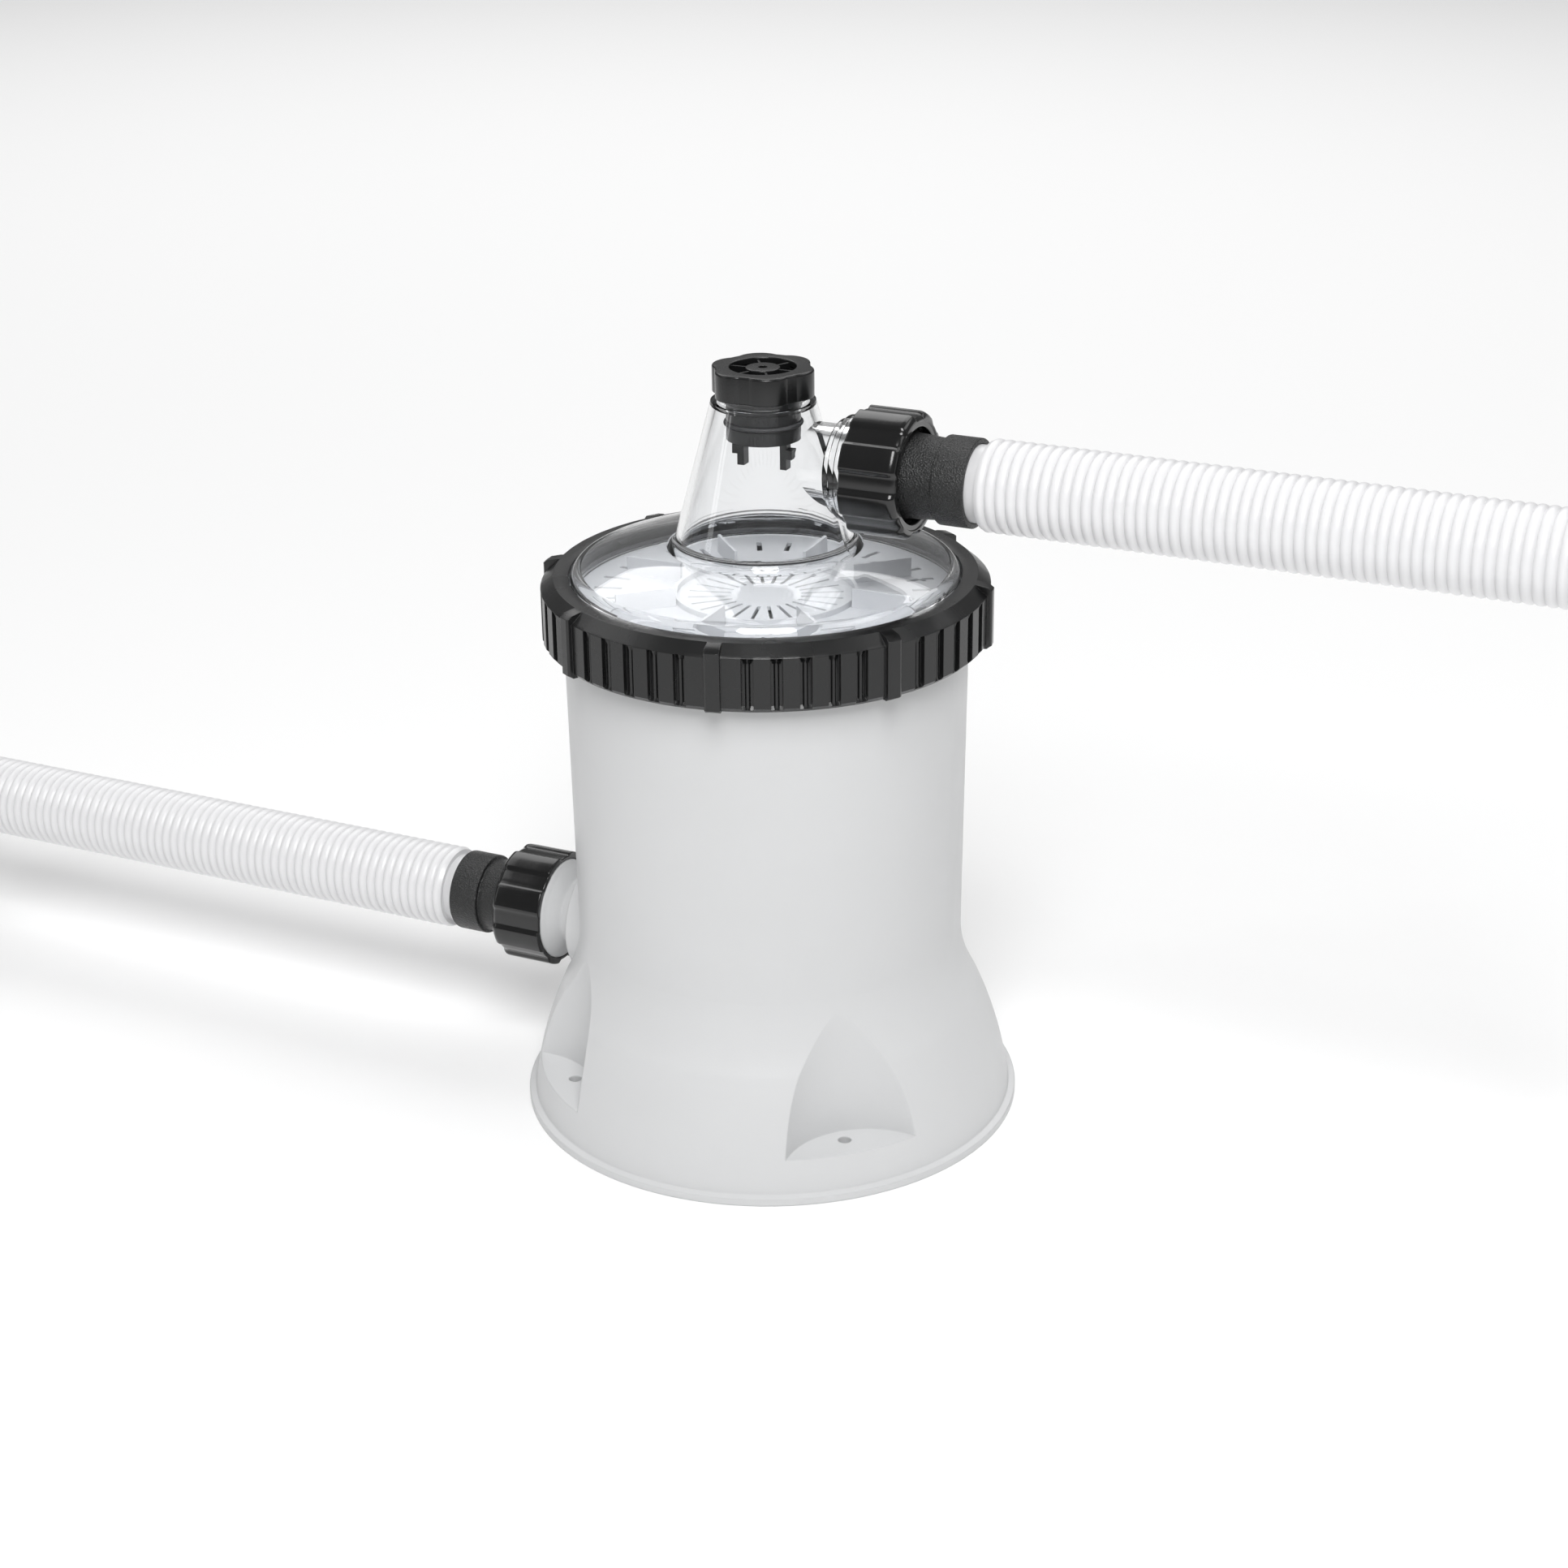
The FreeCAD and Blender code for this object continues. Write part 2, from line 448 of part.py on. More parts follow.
# clear lid
def makeLid():
    body = newBody("clear_lid")
    turned(body, "lid_form", [
        ("0", "lidFlangeZ - spigotDrop"), ("spigotR", "lidFlangeZ - spigotDrop"), ("spigotR", "lidFlangeZ"),
        ("lidFlangeR", "lidFlangeZ"), ("lidFlangeR", "lidFlangeZ + lidFlangeThick"),
        ("shoulderR", "lidFlangeZ + lidFlangeThick"), ("shoulderR", "shoulderZ", "shoulderArc", "left"),
        ("domeEdgeR", "domeEdgeZ", "domeArc", "left"), ("domeTopR", "domeTopZ", "footArc", "right"),
        ("coneFootR", "coneFootZ"), ("coneTopR", "coneTopZ"), ("neckR", "coneTopZ"), ("neckR", "neckTopZ"),
        ("0", "neckTopZ")])
    turned(body, "inlet_form", [
        ("10", "0"), ("10", "inletR"), ("inletLedgeX", "inletR"), ("inletLedgeX", "inletLedgeR"),
        ("inletLedgeX + 3", "inletLedgeR + 0.6"), ("inletLedgeX + 3", "threadR - 1.2"),
        ("inletNutX - 3", "threadR - 1"), ("inletNutX - 3", "threadR"), ("inletNutX + gasketS", "threadR"),
        ("inletNutX + gasketS", "0")], height="inletZ")
    turned(body, "lid_hollow", [
        ("0", "lidFlangeZ - spigotDrop - 1"), ("spigotR - spigotWide", "lidFlangeZ - spigotDrop - 1"),
        ("spigotR - spigotWide", "shoulderZ - 1.2"),
        ("domeEdgeR - lidWall/2", "domeEdgeZ - lidWall", "domeArc - lidWall", "left"),
        ("domeTopR - lidWall/2", "domeTopZ - lidWall"), ("coneFootR - lidWall", "coneFootZ - 1"),
        ("coneTopR - lidWall", "coneTopZ - lidWall"), ("neckBore", "coneTopZ - lidWall"),
        ("neckBore", "neckTopZ + 1"), ("0", "neckTopZ + 1")], cut=True)
    turned(body, "inlet_bore", [
        ("8", "0"), ("8", "inletBore"), ("inletNutX + gasketS + 1", "inletBore"),
        ("inletNutX + gasketS + 1", "0")], cut=True, height="inletZ")
    torus("lid_o_ring", "oRingR", "oRingWide - 0.01", "lidFlangeZ - oRingWide")


# top cap
def makeCap():
    cap = newBody("top_cap")
    capTall = "capTopZ - capFootZ"
    raised(cap, "cap_disc", lambda s: circleOutline(s, "0", "0", "capR - 1.7"), "capFootZ", capTall)
    lobe = raised(cap, "cap_lobe", lambda s: circleOutline(s, "capR - capLobeR", "0", "capLobeR"), "capFootZ",
                  capTall)
    repeated(cap, "cap_lobe_set", lobe, "capLobes")
    turned(cap, "cap_hollow", [
        ("0", "capFootZ - 1"), ("neckR + capFit", "capFootZ - 1"), ("neckR + capFit", "capTopZ - capTopThick"),
        ("wellR", "capTopZ - capTopThick"), ("wellR", "capTopZ + 1"), ("0", "capTopZ + 1")], cut=True)
    spokeZ = "capTopZ - spokeDrop - spokeTall"
    spoke = raised(cap, "cap_spoke", lambda s: slab(s, "0", "wellR + 1", "spokeWide", "spokeTurn"), spokeZ,
                   "spokeTall")
    repeated(cap, "cap_spokes", spoke, "capLobes")
    raised(cap, "cap_hub", lambda s: circleOutline(s, "0", "0", "hubR"), spokeZ, "spokeTall")
    raised(cap, "cap_pin_hole", lambda s: circleOutline(s, "0", "0", "pinHoleR"), spokeZ + " - 1",
           "spokeTall + 2", cut=True)

    plug = newBody("cap_plug")
    turned(plug, "plug_form", [
        ("0", "plugFootZ"), ("plugR", "plugFootZ"), ("plugR", "sealZ - sealWide/2"),
        ("plugR - sealDeep", "sealZ - sealWide/2"), ("plugR - sealDeep", "sealZ + sealWide/2"),
        ("plugR", "sealZ + sealWide/2"), ("plugR", spokeZ), ("plugR - plugWall", spokeZ),
        ("plugR - plugWall", "plugFootZ + plugWall"), ("0", "plugFootZ + plugWall")])
    arm = raised(plug, "snap_arm", lambda s: slab(s, "armDist - armThick/2", "armDist + armThick/2", "armWide"),
                 "plugFootZ - armTall", "armTall + 0.5")
    repeated(plug, "snap_arms", arm, "2")
    barb = raised(plug, "arm_barb", lambda s: slab(s, "armDist", "armDist + armThick/2 + barbOut", "armWide"),
                  "barbZ", "barbTall")
    repeated(plug, "arm_barbs", barb, "2")
    torus("cap_o_ring", "(plugR - sealDeep + neckBore)/2", "(neckBore - plugR + sealDeep)/2 - 0.05", "sealZ")


# inside the tank
def makeDiffuser():
    plate = newBody("diffuser_plate")
    top = "diffuserZ + diffuserThick"
    turned(plate, "plate_form", [
        ("0", "diffuserZ"), ("diffuserR", "diffuserZ"), ("diffuserR", top), ("discR + discWall", top),
        ("discR + discWall", top + " + discTall"), ("discR", top + " + discTall"), ("discR", top), ("0", top)])
    through = "diffuserThick + 2"
    for name, inner, outer, wide, count, angle in (
            ("outer_slot", "slotIn", "slotOut", "slotWide", "slotCount", "5.6"),
            ("mesh_slot", "meshIn", "meshOut", "meshWide", "meshSlots", "0")):
        slot = raised(plate, name, lambda s: slab(s, inner, outer, wide, angle), "diffuserZ - 1", through,
                      cut=True)
        repeated(plate, name + "_set", slot, count)
    rib = raised(plate, "plate_rib", lambda s: slab(s, "ribIn", "ribOut", "ribThick"), top + " - 0.5",
                 "ribTall + 0.5")
    repeated(plate, "plate_ribs", rib, "ribCount")


def makeStrainer():
    body = newBody("suction_strainer")
    foot = "floorZ + floorThick"
    turned(body, "strainer_form", [
        ("strainerR - strainerWall", foot), ("strainerFlangeR", foot),
        ("strainerFlangeR", foot + " + strainerFlangeThick"), ("strainerR", foot + " + strainerFlangeThick"),
        ("strainerR", foot + " + strainerTall"), ("0", foot + " + strainerTall"),
        ("0", foot + " + strainerTall - strainerWall"),
        ("strainerR - strainerWall", foot + " + strainerTall - strainerWall")])
    slot = raised(body, "strainer_slot", lambda s: slab(s, "strainerR - 4", "strainerR + 2", "strainerSlotWide"),
                  foot + " + 3.2", "strainerTall - 6.4", cut=True)
    repeated(body, "strainer_slot_set", slot, "strainerSlots")


def makeBalls():
    """Fibre balls in rings of seven, as many layers as fit; all but the lowest have a middle one."""
    radius, step = value("ballR"), value("2*ballR + 2*ballGap")
    low = value("floorZ + floorThick + ballR + ballGap")
    balls = []
    for layer in range(int(value("diffuserZ - floorZ - floorThick") / step)):
        spots = around("ballRingDist", 7, 12.0 * layer) + ([(0.0, 0.0)] if layer else [])
        balls += [Part.makeSphere(radius, Vector(x, y, low + layer * step)) for x, y in spots]
    solidGroup("filter_balls", balls)


# pump and motor
def makeVolute():
    body = newBody("volute_casing")
    top = "floorZ - voluteGasket"
    turned(body, "volute_form", [
        ("0", "voluteFootZ"), ("footFlangeR", "voluteFootZ"), ("footFlangeR", "voluteFootZ + voluteWall"),
        ("voluteR", "voluteFootZ + voluteWall"), ("voluteR", top + " - voluteFlangeThick"),
        ("voluteFlangeR", top + " - voluteFlangeThick"), ("voluteFlangeR", top), ("0", top)])
    turned(body, "spout_form", [
        ("-voluteR + 12", "0"), ("-voluteR + 12", "spoutR"), ("-spoutSealX + spoutSealWide/2", "spoutR"),
        ("-spoutSealX + spoutSealWide/2", "spoutR - spoutSealDeep"),
        ("-spoutSealX - spoutSealWide/2", "spoutR - spoutSealDeep"),
        ("-spoutSealX - spoutSealWide/2", "spoutR"),
        ("-spoutEndX", "spoutR"), ("-spoutEndX", "0")], height="outletZ")
    turned(body, "volute_room", [
        ("0", "voluteFootZ - 1"), ("canR - canWall", "voluteFootZ - 1"),
        ("canR - canWall", "voluteFootZ + voluteWall"), ("voluteR - voluteWall", "voluteFootZ + voluteWall"),
        ("voluteR - voluteWall", top + " + 1"), ("0", top + " + 1")], cut=True)
    turned(body, "spout_bore", [
        ("-voluteR + 10", "0"), ("-voluteR + 10", "spoutBore"), ("-spoutEndX - 1", "spoutBore"),
        ("-spoutEndX - 1", "0")], cut=True, height="outletZ")
    for name, dist, foot, thick in (("top_hole", "flangeScrewDist", top + " - voluteFlangeThick",
                                     "voluteFlangeThick"),
                                    ("foot_hole", "footScrewDist", "voluteFootZ", "voluteWall")):
        hole = raised(body, name, lambda s: circleOutline(s, dist, "0", "screwR + screwFit"), foot + " - 1",
                      thick + " + 2", cut=True)
        repeated(body, name + "_set", hole, "6")
    plainSolid("volute_gasket", [("voluteR - voluteWall + 1", top), ("voluteGasketR", top),
                                 ("voluteGasketR", "floorZ"), ("voluteR - voluteWall + 1", "floorZ")])
    screws("flange_screws", around("flangeScrewDist", 6),
           value("floorZ - voluteGasket - voluteFlangeThick - screwHeadTall"), value("screwHeadTall"),
           value("voluteFlangeThick + voluteGasket + floorThick/2"))
    screws("motor_screws", around("footScrewDist", 6),
           value("voluteFootZ - motorFlangeThick - screwHeadTall"), value("screwHeadTall"),
           value("motorFlangeThick + voluteWall"))
    middle = "spoutR - spoutSealDeep/2 + (socketR - spoutR)/2"
    half = "(spoutSealDeep + socketR - spoutR)/2 - 0.05"
    plainSolid("spout_o_ring", [
        (f"-spoutSealX - ({half})*0.6", f"{middle} - ({half})"), (f"-spoutSealX + ({half})*0.6",
                                                                  f"{middle} - ({half})"),
        (f"-spoutSealX + ({half})", middle), (f"-spoutSealX + ({half})*0.6", f"{middle} + ({half})"),
        (f"-spoutSealX - ({half})*0.6", f"{middle} + ({half})"), (f"-spoutSealX - ({half})", middle)],
        height="outletZ")


def makeMotor():
    housing = newBody("motor_housing")
    turned(housing, "housing_form", [
        ("0", "motorFootZ"), ("motorR", "motorFootZ"), ("motorR", "voluteFootZ - motorFlangeThick"),
        ("footFlangeR", "voluteFootZ - motorFlangeThick"), ("footFlangeR", "voluteFootZ"),
        ("motorR - motorWall", "voluteFootZ"), ("motorR - motorWall", "motorFootZ + motorWall"),
        ("0", "motorFootZ + motorWall")])
    hole = raised(housing, "housing_hole", lambda s: circleOutline(s, "footScrewDist", "0", "screwR + screwFit"),
                  "voluteFootZ - motorFlangeThick - 1", "motorFlangeThick + 2", cut=True)
    repeated(housing, "housing_holes", hole, "6")
    plainSolid("rotor_can", [
        ("0", "canFootZ"), ("canR", "canFootZ"), ("canR", "voluteFootZ - canFlangeThick"),
        ("canFlangeR", "voluteFootZ - canFlangeThick"), ("canFlangeR", "voluteFootZ"),
        ("canR - canWall", "voluteFootZ"), ("canR - canWall", "canFootZ + canWall"),
        ("0", "canFootZ + canWall")])

    core = box("core_block", "coreWide", "coreDeep", "coreTall", "-coreWide/2", "-coreDeep/2", "coreFootZ")
    keep(boolean("Part::Cut", "core_cut", core, cylinder("core_bore", "canR + coreFit", "80")), "stator_core")
    coils = []
    for side in (-1, 1):
        wide = "(coilOut - coilIn)"
        left = "coilIn" if side > 0 else "-coilOut"
        outside = box(f"coil_outside_{side + 1}", wide, "coreDeep + 2*coilSkin", "coreTall + 2*coilSkin", left,
                      "-coreDeep/2 - coilSkin", "coreFootZ - coilSkin")
        inside = box(f"coil_inside_{side + 1}", "coreWide", "coreDeep + 2*coilFit", "coreTall + 2*coilFit",
                     "0" if side > 0 else "-coreWide", "-coreDeep/2 - coilFit", "coreFootZ - coilFit")
        coils.append(boolean("Part::Cut", f"coil_{side + 1}", outside, inside))
    both = doc.addObject("Part::Compound", "coil_pair")
    both.Links = coils
    keep(both, "stator_coils")

    keep(cylinder("shaft_rod", "shaftR", "shaftTopZ - shaftFootZ", z="shaftFootZ"), "pump_shaft")
    for label, foot in (("lower_bush", "canFootZ + canWall"), ("upper_bush", "upperBushZ")):
        plainSolid(label, [("shaftR + 0.02", foot), ("bushR", foot), ("bushR", foot + " + bushThick"),
                           ("shaftR + 0.02", foot + " + bushThick")])
    plainSolid("rotor_magnet", [
        ("shaftR + shaftFit", "magnetFootZ"), ("magnetR", "magnetFootZ"),
        ("magnetR", "magnetFootZ + magnetTall"), ("shaftR + shaftFit", "magnetFootZ + magnetTall")])

    impeller = newBody("impeller")
    magnetTop = "magnetFootZ + magnetTall"
    turned(impeller, "impeller_form", [
        ("shaftR + shaftFit", magnetTop), ("impellerHubR", magnetTop), ("impellerHubR", "impellerZ"),
        ("impellerR", "impellerZ"), ("impellerR", "impellerZ + impellerThick"),
        ("impellerHubR", "impellerZ + impellerThick"),
        ("impellerHubR", "impellerZ + impellerThick + bladeTall/2"),
        ("shaftR + shaftFit", "impellerZ + impellerThick + bladeTall/2")])

    def bladeOutline(sketch):
        corners = (("0", "-bladeThick/2"), ("bladeReach", "-bladeThick/2"), ("bladeReach", "bladeThick/2"),
                   ("0", "bladeThick/2"))
        outline(sketch, [(f"impellerHubR - 1 + ({x})*cos(bladeLean) - ({y})*sin(bladeLean)",
                          f"({x})*sin(bladeLean) + ({y})*cos(bladeLean)") for x, y in corners])

    blade = raised(impeller, "blade", bladeOutline, "impellerZ + impellerThick - 0.5", "bladeTall + 0.5")
    repeated(impeller, "blades", blade, "bladeCount")

    spider = newBody("shaft_spider")
    turned(spider, "spider_rim", [
        ("spiderBore", "floorZ - spiderTall"), ("spiderR", "floorZ - spiderTall"), ("spiderR", "floorZ"),
        ("spiderBore", "floorZ")])
    arm = raised(spider, "spider_arm", lambda s: slab(s, "bushR + 0.5", "spiderBore + 1", "spiderArm"),
                 "floorZ - spiderTall", "spiderTall")
    repeated(spider, "spider_arms", arm, "3")
    turned(spider, "spider_hub", [
        ("bushR", "upperBushZ"), ("spiderHubR", "upperBushZ"), ("spiderHubR", "floorZ"), ("0", "floorZ"),
        ("0", "upperBushZ + bushThick + 2"), ("bushR", "upperBushZ + bushThick + 2")])


# unions and hoses
def makeUnion(prefix, mouth, side, height):
    """One end of a hose: a union nut, its gasket, the hose tail and the hose's smooth cuff."""
    def at(s):
        return f"({mouth}) + ({side})*({s})"

    nut = newBody(prefix + "_union_nut")
    foot = at("0") if side > 0 else at("nutLong")
    raised(nut, prefix + "_nut_round", lambda s: circleOutline(s, "0", "0", "nutRoundR"), foot, "nutLong",
           plane="YZ_Plane", height=height)
    middle = tilted("nutR - nutLobeR", "0", "nutTurn")
    lobe = raised(nut, prefix + "_nut_lobe", lambda s: circleOutline(s, *middle, "nutLobeR"), foot, "nutLong",
                  plane="YZ_Plane", height=height)
    repeated(nut, prefix + "_nut_lobes", lobe, "nutLobes")
    turned(nut, prefix + "_nut_bore", [
        (at("-1"), "0"), (at("-1"), "threadR + threadFit"), (at("nutLong - nutLip"), "threadR + threadFit"),
        (at("nutLong - nutLip"), "nutLipR"), (at("nutLong + 1"), "nutLipR"), (at("nutLong + 1"), "0")],
        cut=True, height=height)

    gasketEnd = "gasketS + gasketThick"
    plainSolid(prefix + "_union_gasket", [
        (at("gasketS"), "gasketBore"), (at("gasketS"), "flangeR - 0.2"), (at(gasketEnd), "flangeR - 0.2"),
        (at(gasketEnd), "gasketBore")], height=height)
    plainSolid(prefix + "_hose_tail", [
        (at(gasketEnd), "tailBore"), (at(gasketEnd), "flangeR"),
        (at("nutLong - nutLip - flangeFit"), "flangeR"),
        (at("nutLong - nutLip - flangeFit"), "tailRootR"), (at("nutLong"), "tailRootR"),
        (at("collarS"), "tailWaistR"), (at("collarS"), "collarR"), (at("collarEndS"), "collarR"),
        (at("collarEndS"), "cuffR + cuffFit"), (at("collarFloorS"), "cuffR + cuffFit"),
        (at("collarFloorS"), "tailBore")], height=height)
    plainSolid(prefix + "_hose_cuff", [
        (at("collarFloorS + cuffFit"), "cuffBore"), (at("collarFloorS + cuffFit"), "cuffR"),
        (at("hoseS"), "cuffR"), (at("hoseS"), "cuffBore")], height=height)


def makeHose(label, start, end, height):
    """The taut stretch of hose, one straight run, so it has no bends and no radii."""
    hose = plainSolid(label, [(start, "hoseBore"), (start, "hoseR"), (end, "hoseR"), (end, "hoseBore")],
                      height=height)
    run = abs(value(end) - value(start))
    section = math.pi * (value("hoseR") ** 2 - value("hoseBore") ** 2)
    share = hose.Shape.Volume / (section * run)
    print(f"{label}: one straight run of {run:.1f} mm, volume {share:.4f} of section x length")


makeTank()
makeBase()
makeLockRing()
makeLid()
makeCap()
makeDiffuser()
makeStrainer()
makeBalls()
makeVolute()
makeMotor()
makeUnion("inlet", "inletNutX", 1, "inletZ")
makeUnion("inlet_far", "inletHoseEnd + hoseS", -1, "inletZ")
makeHose("inlet_hose", "inletNutX + hoseS", "inletHoseEnd", "inletZ")
makeUnion("outlet", "-outletNutX", -1, "outletZ")
makeUnion("outlet_far", "-outletHoseEnd - hoseS", 1, "outletZ")
makeHose("outlet_hose", "-outletNutX - hoseS", "-outletHoseEnd", "outletZ")

doc.recompute()
faults = [thing.Name for thing in doc.Objects if {"Invalid", "Error"} & set(thing.State)]
faults += [piece.Label for piece in finished if piece.Shape.isNull() or not piece.Shape.isValid()]
if faults:
    raise RuntimeError("these objects failed: " + ", ".join(faults))
os.makedirs("parts", exist_ok=True)
for piece in finished:
    piece.Shape.exportStep(f"parts/{piece.Label}.step")
print(f"{len(finished)} parts written")
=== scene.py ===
import bpy
import bmesh
import math
import numpy as np
from mathutils import Matrix, Vector


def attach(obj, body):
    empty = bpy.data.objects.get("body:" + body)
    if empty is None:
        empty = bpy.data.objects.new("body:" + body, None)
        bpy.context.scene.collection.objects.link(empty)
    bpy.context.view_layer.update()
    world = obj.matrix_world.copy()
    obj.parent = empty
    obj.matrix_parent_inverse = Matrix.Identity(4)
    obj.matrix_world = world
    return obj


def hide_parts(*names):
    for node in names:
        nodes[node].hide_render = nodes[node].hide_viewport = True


# Above-ground pool filter pump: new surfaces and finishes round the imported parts.
# Metres throughout. The tank's axis is Z, the inlet hose runs along +X, the outlet hose along -X.

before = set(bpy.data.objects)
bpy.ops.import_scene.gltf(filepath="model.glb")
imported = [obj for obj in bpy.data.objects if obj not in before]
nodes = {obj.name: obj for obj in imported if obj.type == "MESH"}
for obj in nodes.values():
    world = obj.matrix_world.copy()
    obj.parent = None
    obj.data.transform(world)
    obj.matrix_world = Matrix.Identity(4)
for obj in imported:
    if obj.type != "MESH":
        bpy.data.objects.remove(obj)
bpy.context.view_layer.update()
print("frame loaded:", len(nodes), "nodes")

mm = 0.001


# shader maths: a socket that can be added and multiplied

class Wire:
    def __init__(self, finish, socket):
        self.finish, self.socket = finish, socket

    def maths(self, operation, first, second):
        return self.finish.node("ShaderNodeMath", {"operation": operation}, {0: first, 1: second})

    def __add__(self, other): return self.maths("ADD", self, other)
    def __radd__(self, other): return self.maths("ADD", other, self)
    def __mul__(self, other): return self.maths("MULTIPLY", self, other)
    def __rmul__(self, other): return self.maths("MULTIPLY", other, self)


class Finish:
    def __init__(self, name, **shader):
        self.material = bpy.data.materials.new(name)
        self.material.use_nodes = True
        self.tree = self.material.node_tree
        self.tree.nodes.clear()
        self.shader = self.tree.nodes.new("ShaderNodeBsdfPrincipled")
        self.output = self.tree.nodes.new("ShaderNodeOutputMaterial")
        self.tree.links.new(self.shader.outputs[0], self.output.inputs["Surface"])
        self.set(**shader)

    def node(self, kind, settings=None, sockets=None, out=0):
        made = self.tree.nodes.new(kind)
        for key, setting in (settings or {}).items():
            setattr(made, key, setting)
        for key, given in (sockets or {}).items():
            if isinstance(given, Wire):
                self.tree.links.new(given.socket, made.inputs[key])
            else:
                made.inputs[key].default_value = given
        return Wire(self, made.outputs[out])

    def set(self, **shader):
        for name, given in shader.items():
            socket = self.shader.inputs[name.replace("_", " ")]
            if isinstance(given, Wire):
                self.tree.links.new(given.socket, socket)
            else:
                socket.default_value = given

    def places(self):      # object coordinates, in metres
        return self.node("ShaderNodeTexCoord", out="Object")

    def noise(self, scale, detail, roughness=0.5):
        return self.node("ShaderNodeTexNoise", None, {
            "Vector": self.places(), "Scale": scale, "Detail": detail, "Roughness": roughness})

    def blend(self, factor, first, second):      # two colours mixed by a value
        return self.node("ShaderNodeMix", {"data_type": "RGBA"},
                         {"Factor": factor, 6: first, 7: second}, out=2)

    def limit(self, wire, low, high, toLow, toHigh):
        return self.node("ShaderNodeMapRange", None,
                         {"Value": wire, 1: low, 2: high, 3: toLow, 4: toHigh})

    def bump(self, height, distance, strength, edges=None):
        sockets = {"Height": height, "Distance": distance, "Strength": strength}
        if edges is not None:
            sockets["Normal"] = edges
        return self.node("ShaderNodeBump", None, sockets)

    def softEdges(self, radius):      # rounds the look of sharp edges of a part
        return self.node("ShaderNodeBevel", {"samples": 6}, {"Radius": radius})


def grey(level, tint):      # a grey with a little blue in it
    return (level * (1 - tint), level, level * (1 + tint), 1)


# finishes

def shellFinish():
    look = {"light": grey(0.655, 0.008), "dark": grey(0.625, 0.008), "patchScale": 14, "roughScale": 60,
            "rough": (0.40, 0.50), "grainScale": 900, "grainDepth": 0.00006, "edge": 1.1}
    finish = Finish("tankPlastic", Specular_IOR_Level=0.42, IOR=1.46, Coat_Weight=0.04)
    patch = finish.noise(look["patchScale"], 2)
    grain = finish.noise(look["grainScale"], 2, 0.6)
    finish.set(Base_Color=finish.blend(patch, look["dark"], look["light"]),
               Roughness=finish.limit(finish.noise(look["roughScale"], 3), 0.3, 0.7, *look["rough"]),
               Normal=finish.bump(grain, look["grainDepth"], 0.5, finish.softEdges(look["edge"] * mm)))
    return finish.material


def blackFinish(name, level, rough, grainScale=1500.0, grainDepth=0.00005, edge=0.35, coat=0.0, dust=0.06):
    finish = Finish(name, Specular_IOR_Level=0.5, IOR=1.5, Coat_Weight=coat, Coat_Roughness=0.12)
    patch = finish.noise(35, 3)
    grain = finish.noise(grainScale, 2, 0.6)
    dark, light = grey(level * (1 - dust), 0.03), grey(level * (1 + dust), 0.03)
    finish.set(Base_Color=finish.blend(patch, dark, light),
               Roughness=finish.limit(patch, 0.3, 0.7, rough - 0.03, rough + 0.04),
               Normal=finish.bump(grain, grainDepth, 0.6, finish.softEdges(edge * mm)))
    return finish.material


def sparkFinish():      # spark-eroded texture on the hose tails: coarse grains, some of them shining, with smoother roughness and a painted glint, a lighter base colour
    look = {"level": 0.007, "paintedLight": 2.4, "cellScale": 1300, "grainScale": 2600, "grainShare": 0.6,
            "depth": 0.00035, "smoothRough": 0.20, "coarseRough": 0.55}
    finish = Finish("sparkedTail", Specular_IOR_Level=0.6, IOR=1.5)
    cells = finish.node("ShaderNodeTexVoronoi", {"feature": "F1"},
                        {"Vector": finish.places(), "Scale": look["cellScale"]})
    grain = finish.noise(look["grainScale"], 2, 0.7)
    shining = finish.limit(grain, 0.42, 0.62, 0, 1)
    dark, light = grey(look["level"], 0.03), grey(look["level"] * look["paintedLight"], 0.03)
    # painted glint: the shining grains get a lighter base colour; their lower roughness is real
    finish.set(Base_Color=finish.blend(shining, dark, light),
               Roughness=finish.limit(shining, 0, 1, look["coarseRough"], look["smoothRough"]),
               Normal=finish.bump(cells + grain * look["grainShare"], look["depth"], 0.9))
    return finish.material


def hoseFinish():
    # painted shade: the corrugation valleys are coloured darker grey than the crests and the bore
    look = {"light": (0.79, 0.79, 0.80, 1), "valley": (0.66, 0.66, 0.67, 1), "patchScale": 90,
            "rough": (0.30, 0.38), "depth": 0.0002}
    finish = Finish("hosePlastic", Specular_IOR_Level=0.5, IOR=1.5, Coat_Weight=0.15, Coat_Roughness=0.25,
                    Subsurface_Weight=0.12, Subsurface_Radius=(0.004, 0.004, 0.004), Subsurface_Scale=0.5)
    crest = finish.node("ShaderNodeAttribute", {"attribute_name": "crest"}, out="Fac")
    patch = finish.noise(look["patchScale"], 3)
    # painted shade, by the crest attribute of the hose mesh: valley colour in the valleys, light colour on
    # the crests
    finish.set(Base_Color=finish.blend(crest, look["valley"], look["light"]),
               Roughness=finish.limit(patch, 0.3, 0.7, *look["rough"]),
               Normal=finish.bump(patch, look["depth"], 0.3))
    return finish.material


def clearFinish():
    # lamps shine through it without bending, so what is under it stays lit
    look = {"tint": (0.965, 0.97, 0.975, 1), "ior": 1.46, "shade": (0.93, 0.935, 0.94, 1), "patchScale": 25,
            "rough": (0.0, 0.012), "depth": 0.0002}
    finish = Finish("clearPlastic", Transmission_Weight=1.0, IOR=look["ior"], Specular_IOR_Level=0.5)
    faint = finish.noise(look["patchScale"], 2)
    finish.set(Base_Color=look["tint"], Roughness=finish.limit(faint, 0.35, 0.65, *look["rough"]),
               Normal=finish.bump(faint, look["depth"], 0.10))
    clear = finish.node("ShaderNodeBsdfTransparent", None, {"Color": look["shade"]})
    lamp = finish.node("ShaderNodeLightPath", out="Is Shadow Ray")
    glass = Wire(finish, finish.shader.outputs[0])
    mixed = finish.node("ShaderNodeMixShader", None, {0: lamp, 1: glass, 2: clear})
    finish.tree.links.new(mixed.socket, finish.output.inputs["Surface"])
    return finish.material


